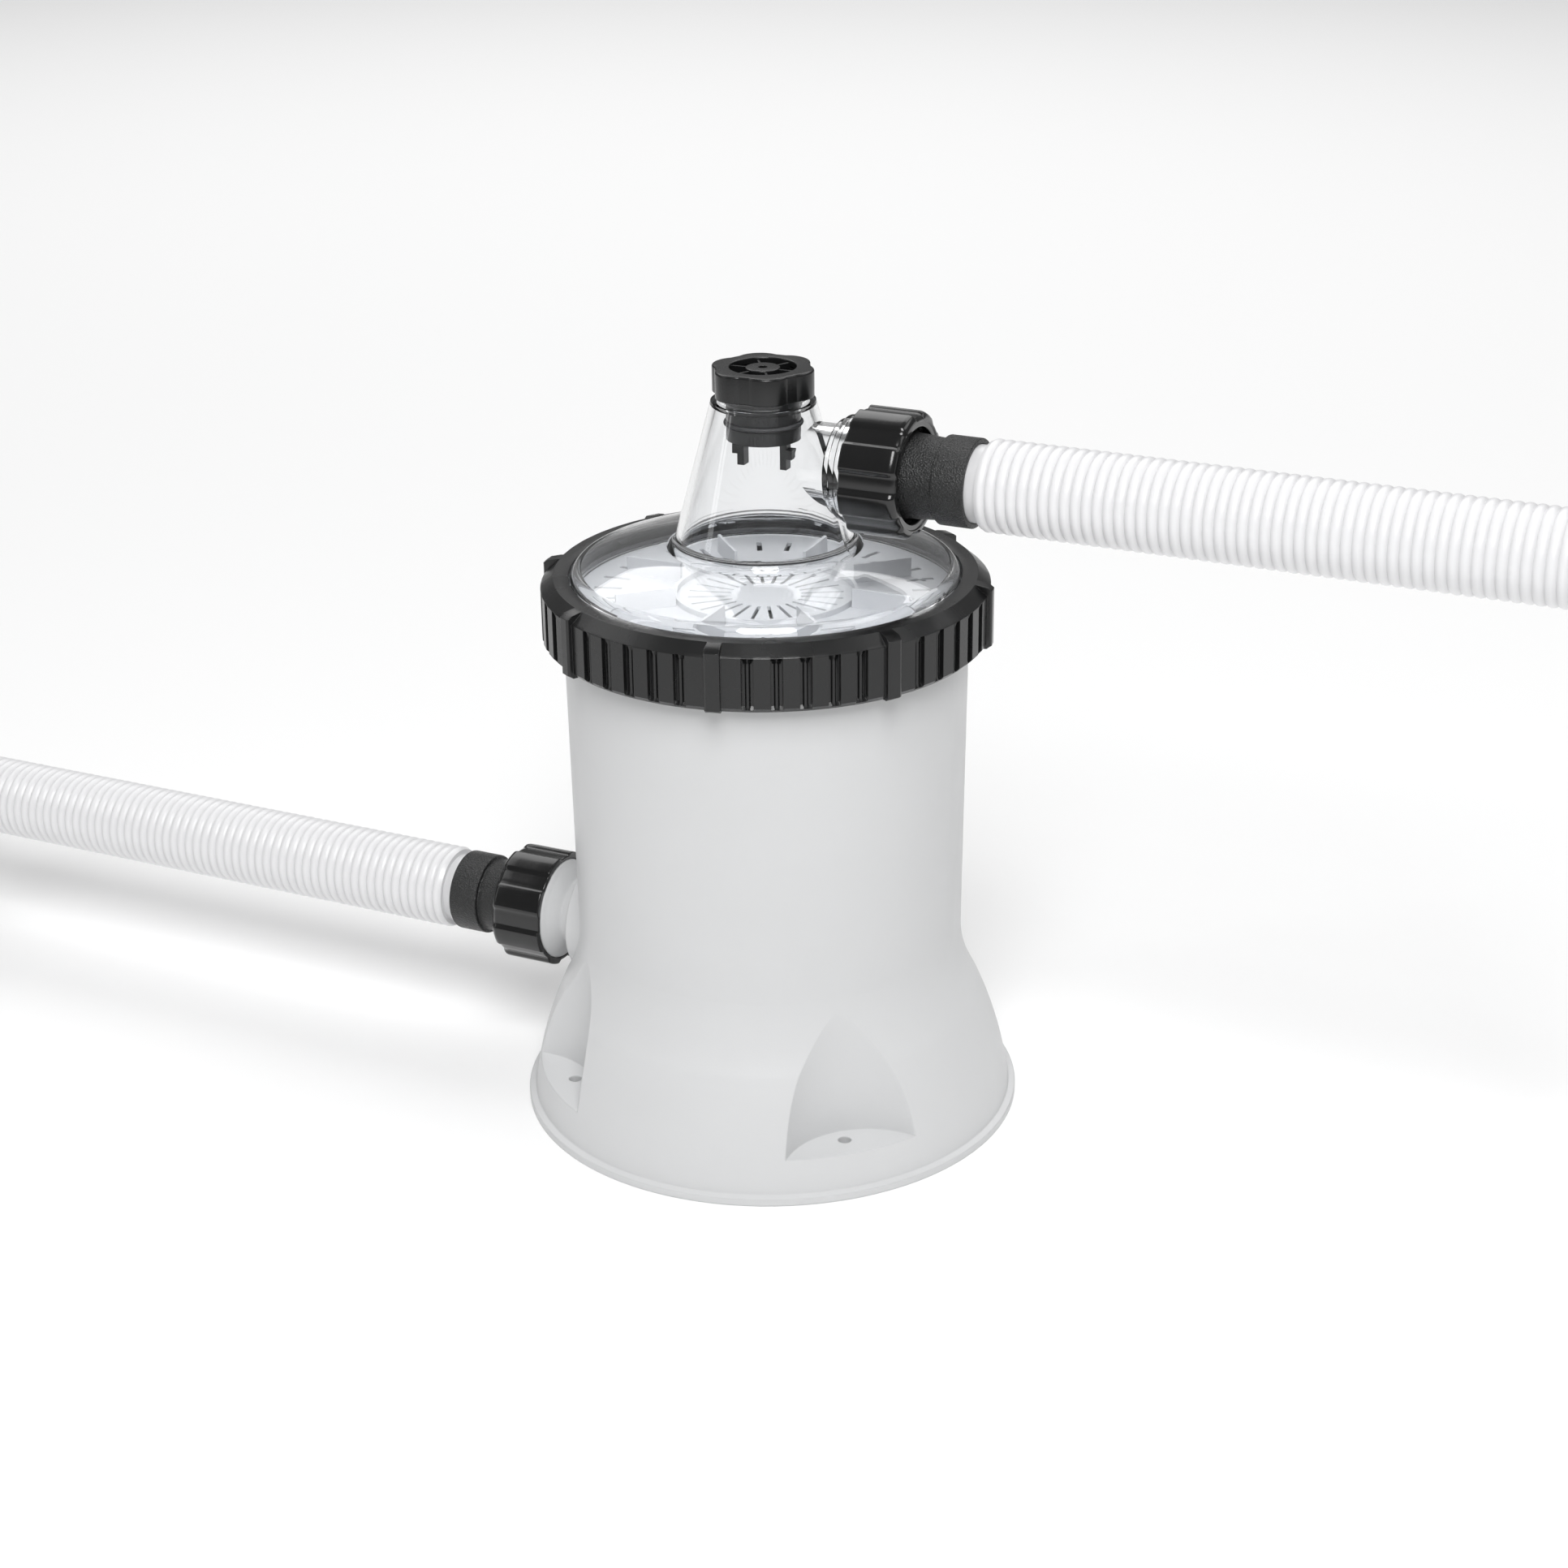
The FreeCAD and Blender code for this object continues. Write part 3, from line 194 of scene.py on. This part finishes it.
def plainFinish(name, colour, rough, metallic=0.0, grainScale=300.0, depth=0.0001, edge=0.3):
    finish = Finish(name, Specular_IOR_Level=0.45, Metallic=metallic)
    grain = finish.noise(grainScale, 3)
    darker = tuple(0.88 * c for c in colour[:3]) + (1,)
    finish.set(Base_Color=finish.blend(grain, darker, colour),
               Roughness=finish.limit(grain, 0.3, 0.7, rough - 0.05, rough + 0.05),
               Normal=finish.bump(grain, depth, 0.5, finish.softEdges(edge * mm)))
    return finish.material


finishes = {
    "shell": shellFinish(),
    "ring": blackFinish("ringPlastic", 0.007, 0.27),
    "cap": blackFinish("capPlastic", 0.008, 0.27),
    "nut": blackFinish("nutPlastic", 0.005, 0.20, 700, 0.00003, 0.4, coat=0.3),
    "pumpBlack": blackFinish("pumpPlastic", 0.03, 0.45),
    "plug": blackFinish("plugPlastic", 0.012, 0.30),
    "tail": sparkFinish(),
    "hose": hoseFinish(),
    "clear": clearFinish(),
    "inner": plainFinish("innerPlastic", (0.50, 0.51, 0.53, 1), 0.5, grainScale=200),
    "fibre": plainFinish("filterFibre", (0.82, 0.82, 0.80, 1), 0.95, grainScale=900, depth=0.002),
    "seal": plainFinish("sealRubber", (0.03, 0.03, 0.032, 1), 0.6, grainScale=900),
    "steel": plainFinish("screwSteel", (0.60, 0.60, 0.61, 1), 0.32, metallic=1.0, grainScale=500),
    "magnet": plainFinish("magnetFerrite", (0.07, 0.07, 0.075, 1), 0.5, grainScale=800),
    "copper": plainFinish("coilCopper", (0.72, 0.36, 0.20, 1), 0.35, metallic=1.0, grainScale=700,
                          depth=0.0004),
    "ceramic": plainFinish("shaftCeramic", (0.85, 0.84, 0.81, 1), 0.15, grainScale=600),
}
print("finishes made:", len(finishes))


# surfaces

def gridMesh(name, spots, finish, values=None, sharp=32):
    # a mesh on a grid of points [u, v, xyz]: neighbours join into quads, and it closes both ways round
    countU, countV = spots.shape[:2]
    index = np.arange(countU * countV).reshape(countU, countV)
    nextU = np.roll(index, -1, 0)
    quads = np.stack([index, nextU, np.roll(nextU, -1, 1), np.roll(index, -1, 1)], -1)
    mesh = bpy.data.meshes.new(name)
    mesh.from_pydata(spots.reshape(-1, 3).tolist(), [], quads.reshape(-1, 4).tolist())
    for key, given in (values or {}).items():
        layer = mesh.attributes.new(key, "FLOAT", "POINT")
        whole = np.broadcast_to(given, (countU, countV)).astype(np.float32)
        layer.data.foreach_set("value", whole.ravel())
    return finishMesh(name, mesh, finish, sharp)


def finishMesh(name, mesh, finish, sharp=32):
    work = bmesh.new()
    work.from_mesh(mesh)
    bmesh.ops.remove_doubles(work, verts=work.verts, dist=1e-6)
    bmesh.ops.dissolve_degenerate(work, edges=work.edges, dist=1e-7)
    bmesh.ops.recalc_face_normals(work, faces=work.faces)
    work.to_mesh(mesh)
    work.free()
    mesh.shade_smooth()
    mesh.set_sharp_from_angle(angle=math.radians(sharp))
    piece = bpy.data.objects.new(name, mesh)
    bpy.context.scene.collection.objects.link(piece)
    mesh.materials.append(finish)
    return piece


def rounded(corners, steps=5):
    # corners (radius, height, fillet) of a closed outline, each fillet an arc of that radius:
    # centre on the bisector at fillet / sin(half the corner's angle), tangent points at fillet / tan(half)
    corner = np.array([c[:2] for c in corners], float)
    fillet = [c[2] if len(c) > 2 else 0.0 for c in corners]
    line = []
    for i, here in enumerate(corner):
        if fillet[i] <= 0:
            line.append(here[None])
            continue
        back, ahead = corner[i - 1] - here, corner[(i + 1) % len(corner)] - here
        back, ahead = back / np.linalg.norm(back), ahead / np.linalg.norm(ahead)
        half = math.acos(np.clip(back @ ahead, -1, 1)) / 2
        centre = here + (back + ahead) / np.linalg.norm(back + ahead) * fillet[i] / math.sin(half)
        first, last = here + back * fillet[i] / math.tan(half), here + ahead * fillet[i] / math.tan(half)
        part = np.linspace(0, 1, steps + 1)[:, None]
        sweep = math.pi - 2 * half
        arc = np.sin((1 - part) * sweep) * (first - centre) + np.sin(part * sweep) * (last - centre)
        line.append(centre + arc / math.sin(sweep))
    return np.concatenate(line) * mm


def lathe(name, corners, finish, axis="Z", centre=(0, 0, 0), segments=192, wave=None, sharp=32, steps=5):
    # a closed outline of (radius, height) turned about an axis through centre;
    # wave(angle, radius, height) gives the radius where it changes round the axis
    line = rounded(corners, steps)
    angle = np.linspace(0, 2 * np.pi, segments, endpoint=False)[:, None]
    radius = np.broadcast_to(line[None, :, 0], (segments, len(line)))
    height = np.broadcast_to(line[None, :, 1], (segments, len(line)))
    if wave is not None:
        radius = wave(angle, radius, height)
    return gridMesh(name, onAxis(angle, radius, height, axis, centre), finish, sharp=sharp)


def onAxis(angle, radius, height, axis="Z", centre=(0, 0, 0)):
    across, over = radius * np.cos(angle), radius * np.sin(angle)
    parts = (across, over, height) if axis == "Z" else (height, across, over)
    return np.stack(parts, -1) + np.array(centre)


def softStep(value):      # 0 below 0, 1 above 1, smooth between: 3v^2 - 2v^3
    value = np.clip(value, 0, 1)
    return value * value * (3 - 2 * value)


def ride(piece, body, *replaced, slot):
    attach(piece, body)
    if replaced:
        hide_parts(*replaced)


# camera

view = {"place": (0.5064, -1.0454, 0.6429), "round": 25.85, "down": 23.148, "aside": 0.338, "roll": -0.652,
        "lens": 66.54, "sensor": 36.0}


def placeCamera():
    down, aside, roll = (math.radians(view[k]) for k in ("down", "aside", "roll"))
    ahead = Vector((math.sin(aside) * math.cos(down), math.cos(aside) * math.cos(down), -math.sin(down)))
    right = Vector((math.cos(aside), -math.sin(aside), 0))
    up = right.cross(ahead)
    turned = Matrix((math.cos(roll) * right + math.sin(roll) * up,
                     math.cos(roll) * up - math.sin(roll) * right, -ahead)).transposed()
    data = bpy.data.cameras.new("camera")
    data.lens, data.sensor_width = view["lens"], view["sensor"]
    camera = bpy.data.objects.new("camera", data)
    bpy.context.scene.collection.objects.link(camera)
    camera.matrix_world = (Matrix.Translation(view["place"])
                           @ (Matrix.Rotation(math.radians(view["round"]), 3, "Z") @ turned).to_4x4())
    bpy.context.scene.camera = camera


placeCamera()
print("camera placed")


# hoses

hose = {"crest": 19.0, "valley": 18.0, "pitch": 4.5, "bore": 14.0, "perPitch": 10, "round": 72,
        "power": 0.7, "endRun": 2.2, "endShare": 0.4}
routes = {
    "inletHose": [(0.1006, 0, 0.2945), (0.180, 0, 0.2945), (0.260, 0, 0.2945), (0.336, 0, 0.2945)],
    "outletHose": [(-0.161, 0, 0.066), (-0.250, 0, 0.066), (-0.345, 0, 0.066), (-0.440, 0, 0.066)],
}


def followRoute(points, step):
    # even points along the smooth spline that has the given points as its control points
    curve = bpy.data.curves.new("route", "CURVE")
    curve.dimensions = "3D"
    spline = curve.splines.new("NURBS")
    spline.points.add(len(points) - 1)
    for point, spot in zip(spline.points, points):
        point.co = (*spot, 1)
    spline.order_u = 3
    spline.use_endpoint_u = True
    spline.resolution_u = 24
    guide = bpy.data.objects.new("route", curve)
    mesh = bpy.data.meshes.new_from_object(guide)
    path = np.empty(len(mesh.vertices) * 3)
    mesh.vertices.foreach_get("co", path)
    bpy.data.objects.remove(guide)
    bpy.data.meshes.remove(mesh)
    bpy.data.curves.remove(curve)
    path = path.reshape(-1, 3)
    run = np.concatenate([[0], np.cumsum(np.linalg.norm(np.diff(path, axis=0), axis=1))])
    even = np.linspace(0, run[-1], max(int(run[-1] / step), 2) + 1)
    return np.stack([np.interp(even, run, path[:, k]) for k in range(3)], -1), even


def corrugatedHose(name, points):
    # the outside starts in a valley: valley + (crest - valley) * |sin(pi * run / pitch)| ^ power, and its
    # crests are lower at both ends; the grid goes out along it, then back down the smooth bore
    step = hose["pitch"] / hose["perPitch"] * mm
    path, run = followRoute(points, step)
    tangent = np.gradient(path, axis=0)
    tangent /= np.linalg.norm(tangent, axis=1)[:, None]
    upward = np.array([0.0, 0.0, 1.0]) - tangent * tangent[:, 2:3]
    upward /= np.linalg.norm(upward, axis=1)[:, None]
    across = np.cross(tangent, upward)
    ends = softStep(np.minimum(run, run[-1] - run) / (hose["endRun"] * mm))
    share = hose["endShare"] + (1 - hose["endShare"]) * ends
    beat = np.abs(np.cos(np.pi * (run / (hose["pitch"] * mm) - 0.5))) ** hose["power"]
    outside = (hose["valley"] + (hose["crest"] - hose["valley"]) * beat * share) * mm
    inside = np.full(len(run), hose["bore"] * mm)
    order = np.concatenate([np.arange(len(run)), np.arange(len(run))[::-1]])
    radius = np.concatenate([outside, inside])
    # painted shade mask for the hose's colour: 1 on the crests and in the bore, down to 0 in the valleys,
    # which get a darker grey
    paintedLight = np.concatenate([beat, np.ones(len(run))])
    angle = np.linspace(0, 2 * np.pi, hose["round"], endpoint=False)[:, None, None]
    spots = (path[order][None] + radius[None, :, None]
             * (np.cos(angle) * across[order][None] + np.sin(angle) * upward[order][None]))
    return gridMesh(name, spots, finishes["hose"], {"crest": paintedLight[None]}, sharp=50), path


def placeHoses():
    for name, points in routes.items():
        side = name.replace("Hose", "")
        piece, path = corrugatedHose(name, points)
        ride(piece, "pump", side + "_hose", slot="hose_white")


# unions: nuts, hose tails and cuffs

union = {"nutLong": 25.0, "lobeR": 26.4, "valleyR": 24.9, "mouthR": 23.3, "lip": 6.0, "lipR": 20.0,
         "lipWide": 2.6, "lipSink": 0.5, "lobes": 8, "turn": 17.5, "rearRound": 0.8, "frontRound": 3.2,
         "gasket": 14.2, "flangeR": 22.6, "bore": 13.0, "play": 0.2, "rootR": 17.6, "waistR": 16.6,
         "collar": 37.2, "collarR": 18.4, "collarEnd": 51.2, "collarFloor": 40.2, "cuffR": 15.9}
fittings = {
    "inlet": {"mouth": 44.6, "way": 1, "height": 294.5, "farMouth": 392.0},
    "outlet": {"mouth": -105.0, "way": -1, "height": 66.0, "farMouth": -496.0},
}


def lobedNut(angle, radius, height):
    # lobes stand out where cos(lobes * angle) is high: radius falls by (lobe - valley) between them,
    # less and less towards the bore
    wave = np.cos(union["lobes"] * (angle - math.radians(union["turn"])))
    lobe = softStep((wave + 0.62) / 0.8)
    outer = softStep((radius / mm - union["mouthR"]) / (union["valleyR"] - 1.6 - union["mouthR"] + 1.2))
    return radius - (1 - lobe) * outer * (union["lobeR"] - union["valleyR"]) * mm


def makeUnion(prefix, mouth, way, height, body):
    def at(run):      # along the axis, from the nut's mouth
        return mouth + way * run

    long, lobeR, lipR, mouthR = union["nutLong"], union["lobeR"], union["lipR"], union["mouthR"]
    lipFoot = long - union["lip"]
    flangeTop, cuffR = lipFoot - union["play"], union["cuffR"] + union["play"]
    centre = (0, 0, height * mm)
    nut = lathe(prefix + "Nut", [
        (mouthR, at(0), 0.4), (lobeR, at(0), union["rearRound"]),
        (lobeR, at(long * 0.35)), (lobeR, at(long * 0.7)),
        (lobeR, at(long), union["frontRound"]), (lipR + union["lipWide"], at(long)),
        (lipR + union["lipWide"] - 0.4, at(long - union["lipSink"])),
        (lipR, at(long - union["lipSink"]), 0.5),
        (lipR, at(lipFoot), 0.3), (mouthR, at(lipFoot)),
    ], finishes["nut"], "X", centre, 288, lobedNut, sharp=40, steps=8)
    tail = lathe(prefix + "Tail", [
        (union["bore"], at(union["gasket"]), 0.3), (union["flangeR"], at(union["gasket"]), 0.3),
        (union["flangeR"], at(flangeTop), 0.4), (union["rootR"] + 0.8, at(flangeTop), 0.5),
        (union["rootR"], at(long - 2), 1.5), (union["waistR"], at(union["collar"]), 0.6),
        (union["collarR"], at(union["collar"]), 0.7), (union["collarR"], at(union["collarEnd"]), 0.5),
        (cuffR, at(union["collarEnd"]), 0.5), (cuffR, at(union["collarFloor"])),
        (union["bore"], at(union["collarFloor"])),
    ], finishes["tail"], "X", centre, 128, sharp=40)
    ride(nut, body, f"{labelOf(prefix)}_union_nut", slot="nut_black")
    ride(tail, "pump", f"{labelOf(prefix)}_hose_tail", slot="tail_black")
    return nut, tail


def labelOf(prefix):
    return prefix.replace("Far", "_far")


farPieces = {}
for side, fitting in fittings.items():
    way, height = fitting["way"], fitting["height"]
    makeUnion(side, fitting["mouth"], way, height, side + "_nut")
    farNut, farTail = makeUnion(side + "Far", fitting["farMouth"], -way, height, side + "_far_nut")
    farPieces[side + "Nut"], farPieces[side + "Tail"] = farNut, farTail
placeHoses()
print("hoses and unions made")


# lock ring

ring = {"boreR": 83.1, "innerR": 89.6, "flatR": 89.8, "topZ": 244.9, "topThick": 3.0, "padR": 95.2,
        "padTopZ": 240.3, "lowZ": 217.0, "lowR": 93.0, "bevel": 2.2, "lugs": 8, "lugTurn": 12.7,
        "lugR": 97.3, "lugHalf": 3.2, "lugFlat": 2.3, "lugSide": 0.7, "lugTop": 4.5, "lugFoot": 2.0,
        "grooves": 5, "step": 7.05, "grooveHalf": 2.5, "floorR": 93.0, "beadR": 1.05, "facetFall": 0.42,
        "facetSlant": 0.8, "footFall": 1.1, "footSlant": 0.25}


def ringColumns():
    # angles round the ring, close together at groove walls, beads and lug sides, given as distances
    # round the ring from the middle of a groove or a lug
    groove = np.array([-2.52, -2.48, -1.8, -1.06, -0.95, -0.7, -0.35])
    groove = np.concatenate([groove, [0.0], -groove[::-1]])
    lug = np.array([-3.5, -3.22, -3.18, -2.6, -2.2, 2.2, 2.6, 3.18, 3.22, 3.5])
    middle = np.arange(ring["grooves"]) - (ring["grooves"] - 1) / 2
    starts = 180 / ring["lugs"] + middle[:, None] * ring["step"]
    grooves = (starts + np.degrees(groove / ring["padR"])).ravel()
    sector = np.concatenate([np.degrees(lug / ring["padR"]), [8.6, 36.4], grooves])
    turns = np.arange(ring["lugs"]) * 360 / ring["lugs"] + ring["lugTurn"]
    return np.radians((turns[:, None] + np.sort(sector)).ravel())


def ringRadius(angle, z):
    # outside of the ring: a cone, upright pads and a bevel. A groove has a floor with a bead, and a
    # slanted facet at each end, where the pad's radius falls with depth and towards the groove's sides
    pad, top, padTop, low = ring["padR"], ring["topZ"], ring["padTopZ"], ring["lowZ"]
    sector = 2 * np.pi / ring["lugs"]
    local = np.mod(angle - math.radians(ring["lugTurn"]) + sector / 2, sector) - sector / 2
    fromLug = np.abs(local) * pad
    between = np.abs(local) - sector / 2      # 0 midway between two lugs
    step = math.radians(ring["step"])
    mid = -np.round(-between / step) * step
    mid = np.where(-between < (ring["grooves"] / 2) * step, mid, 9.0)      # 9.0 is far from any groove
    fromGroove = np.abs(between - mid) * pad
    cone = ring["flatR"] + (top - z) * (pad - ring["flatR"]) / (top - padTop)
    bevel = ring["lowR"] + (z - low) * (pad - ring["lowR"]) / ring["bevel"]
    body = np.minimum(np.minimum(cone, pad), bevel)
    bead = ring["floorR"] + np.sqrt(np.maximum(ring["beadR"] ** 2 - fromGroove ** 2, 0))
    upper = pad - ring["facetFall"] * (padTop - z) - ring["facetSlant"] * fromGroove
    lower = pad - ring["footFall"] * (z - low - 1.0) - ring["footSlant"] * fromGroove
    groove = np.maximum(np.maximum(bead, upper), lower)
    inGroove = (fromGroove < ring["grooveHalf"]) & (z < padTop)
    body = np.where(inGroove, np.minimum(body, groove), body)
    lug = ring["lugR"] - ring["lugSide"] * np.maximum(fromLug - ring["lugFlat"], 0)
    lug = np.minimum(lug, ring["flatR"] + 1.0 + ring["lugTop"] * (top - z))
    lug = np.minimum(lug, ring["lugR"] - ring["lugFoot"] + ring["lugFoot"] * (z - low))
    return np.where(fromLug < ring["lugHalf"] + 0.001, np.maximum(body, lug), body)


def makeRing():
    angle = ringColumns()[:, None]
    top, padTop, low = ring["topZ"], ring["padTopZ"], ring["lowZ"]
    bore, room, under = ring["boreR"], ring["innerR"], ring["topZ"] - ring["topThick"]
    z = np.concatenate([[top, top - 1.0, top - 2.3, top - 3.7, padTop + 0.02],
                        np.linspace(padTop - 0.02, padTop - 3.0, 10), [low + 15.0, low + 9.0, low + 4.6],
                        np.linspace(low + 3.9, low + ring["bevel"], 4), [low + 1.2, low]])
    outer = ringRadius(angle, z[None])
    inner = np.array([(room, low), (room, under), (bore, under), (bore, top - 0.5),
                      (bore + 0.15, top - 0.15), (bore + 0.5, top), (bore + 3.4, top),
                      (ring["flatR"] - 0.3, top)])
    radius = np.concatenate([outer, np.broadcast_to(inner[None, :, 0], (len(angle), len(inner)))], 1) * mm
    height = np.concatenate([z, inner[:, 1]])[None] * mm
    spots = onAxis(angle, radius, np.broadcast_to(height, radius.shape))
    piece = gridMesh("lockRing", spots, finishes["ring"], sharp=24)
    ride(piece, "lock_ring", "lock_ring", slot="ring_black")


makeRing()
print("lock ring made")


# top cap

cap = {"lobeR": 22.1, "valleyR": 19.9, "arcR": 10.2, "lobes": 6, "turn": 2.5, "footZ": 321.6,
       "topZ": 333.1, "roof": 2.6, "wellR": 13.9, "flatR": 18.6, "neckR": 18.9, "hubR": 7.2, "hubRise": 0.5,
       "pinR": 1.9, "spokeTurn": 1.5, "spokeHalf": 0.5, "spokeTop": 332.2, "spokeFoot": 329.6}


def lobedCap(angle, radius, height):
    # each lobe is an arc of arcR round a centre at lobeR - arcR from the axis:
    # reach = (lobeR - arcR) cos(a) + sqrt(arcR^2 - ((lobeR - arcR) sin(a))^2), never less than the valley
    sector = 2 * np.pi / cap["lobes"]
    turn = np.mod(angle - math.radians(cap["turn"]) + sector / 2, sector) - sector / 2
    centre = cap["lobeR"] - cap["arcR"]
    reach = centre * np.cos(turn) + np.sqrt(cap["arcR"] ** 2 - (centre * np.sin(turn)) ** 2)
    outer = softStep((radius / mm - cap["neckR"] - 0.2) / 1.2)
    return radius - outer * (cap["lobeR"] - np.maximum(reach, cap["valleyR"])) * mm


def bars(name, count, turn, near, far, half, foot, top, finish):
    # count straight bars from radius near to far round Z, each a closed box of 8 corners
    angle = np.radians(turn + np.arange(count) * 360 / count)[:, None]
    along = np.array([near, far, far, near] * 2)[None]
    aside = np.array([-half, -half, half, half] * 2)[None]
    height = np.array([foot] * 4 + [top] * 4)[None] + 0 * angle
    spots = np.stack([along * np.cos(angle) - aside * np.sin(angle),
                      along * np.sin(angle) + aside * np.cos(angle), height], -1).reshape(-1, 3) * mm
    box = np.array([(0, 3, 2, 1), (4, 5, 6, 7), (0, 1, 5, 4), (1, 2, 6, 5), (2, 3, 7, 6), (3, 0, 4, 7)])
    faces = (box[None] + 8 * np.arange(count)[:, None, None]).reshape(-1, 4)
    mesh = bpy.data.meshes.new(name)
    mesh.from_pydata(spots.tolist(), [], faces.tolist())
    return finishMesh(name, mesh, finish)


def makeCap():
    top, foot, roof = cap["topZ"], cap["footZ"], cap["topZ"] - cap["roof"]
    body = lathe("topCap", [
        (cap["wellR"], top, 0.5), (cap["flatR"], top), (cap["lobeR"], top, 1.0), (cap["lobeR"], foot, 0.5),
        (cap["neckR"] + 0.4, foot), (cap["neckR"], foot + 0.4), (cap["neckR"], roof), (cap["wellR"], roof)],
        finishes["cap"], segments=288, wave=lobedCap, sharp=38, steps=6)
    ride(body, "top_cap", "top_cap", slot="ring_black")
    spokeFoot, spokeTop = cap["spokeFoot"], cap["spokeTop"]
    hubTop = spokeTop + cap["hubRise"]
    hub = lathe("capHub", [
        (cap["pinR"], hubTop), (cap["hubR"], hubTop, 0.4), (cap["hubR"], spokeFoot),
        (cap["pinR"], spokeFoot)], finishes["cap"], segments=96)
    spokes = bars("capSpokes", cap["lobes"], cap["turn"] + cap["spokeTurn"], cap["hubR"] - 0.6,
                  cap["wellR"] + 0.4, cap["spokeHalf"], spokeFoot, spokeTop, finishes["cap"])
    for piece in (hub, spokes):
        ride(piece, "top_cap", slot="ring_black")


makeCap()
print("top cap made")


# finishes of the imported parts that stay

kept = {
    "tank_shell": "shell", "base_cover": "pumpBlack", "cover_screws": "steel", "cable_gland": "pumpBlack",
    "gland_nut": "pumpBlack", "clear_lid": "clear", "lid_o_ring": "seal", "cap_plug": "plug",
    "cap_o_ring": "seal", "diffuser_plate": "inner", "suction_strainer": "inner", "filter_balls": "fibre",
    "volute_casing": "pumpBlack", "volute_gasket": "seal", "flange_screws": "steel",
    "motor_screws": "steel", "spout_o_ring": "seal", "motor_housing": "pumpBlack", "rotor_can": "steel",
    "stator_core": "steel", "stator_coils": "copper", "pump_shaft": "ceramic", "lower_bush": "ceramic",
    "upper_bush": "ceramic", "rotor_magnet": "magnet", "impeller": "pumpBlack", "shaft_spider": "inner",
}
for side in ("inlet", "inlet_far", "outlet", "outlet_far"):
    kept[side + "_hose_cuff"] = "hose"
    kept[side + "_union_gasket"] = "seal"
for name, finish in kept.items():
    piece = nodes[name]
    piece.data.materials.clear()
    piece.data.materials.append(finishes[finish])
print("packed parts finished:", len(kept))


# floor, light and world

studio = {"floor": (0.95, 0.95, 0.95, 1), "world": 0.20, "lamps": [
    # place, aim, size, power, in metres and watts
    ((0.62, -1.28, 1.85), (0, 0, 0.15), (1.0, 1.3), 41.0),
    ((-1.5, -1.1, 1.0), (0, 0, 0.2), (0.16, 1.4), 2.0),
    ((2.0, 0.3, 1.0), (0, 0, 0.2), (0.2, 1.6), 0.8),
    ((-1.1, 2.4, 2.4), (-1.1, 2.4, 0), (3.6, 2.4), 52.0),
    ((-2.4, 0.2, 2.4), (-2.4, 0.2, 0), (1.8, 2.4), 17.0),
    ((1.9, 1.3, 2.4), (1.9, 1.3, 0), (1.6, 2.6), 19.0),
]}


def lightStudio():
    bpy.ops.mesh.primitive_plane_add(size=30)
    floor = bpy.context.object
    floor.name = "floor"
    paint = Finish("floorPaper", Base_Color=studio["floor"], Roughness=0.9, Specular_IOR_Level=0.1)
    floor.data.materials.append(paint.material)
    for number, (place, target, size, power) in enumerate(studio["lamps"]):
        data = bpy.data.lights.new(f"lamp{number}", "AREA")
        data.shape, data.size, data.size_y, data.energy = "RECTANGLE", *size, power
        lamp = bpy.data.objects.new(data.name, data)
        lamp.location = place
        aim = Vector(target) - lamp.location
        lamp.rotation_euler = aim.to_track_quat("-Z", "Y").to_euler()
        bpy.context.scene.collection.objects.link(lamp)
    world = bpy.data.worlds.new("studioWorld")
    world.use_nodes = True
    world.node_tree.nodes["Background"].inputs["Color"].default_value = (1, 1, 1, 1)
    world.node_tree.nodes["Background"].inputs["Strength"].default_value = studio["world"]
    bpy.context.scene.world = world
    bpy.context.scene.view_settings.view_transform = "Standard"


lightStudio()
print("studio lit")
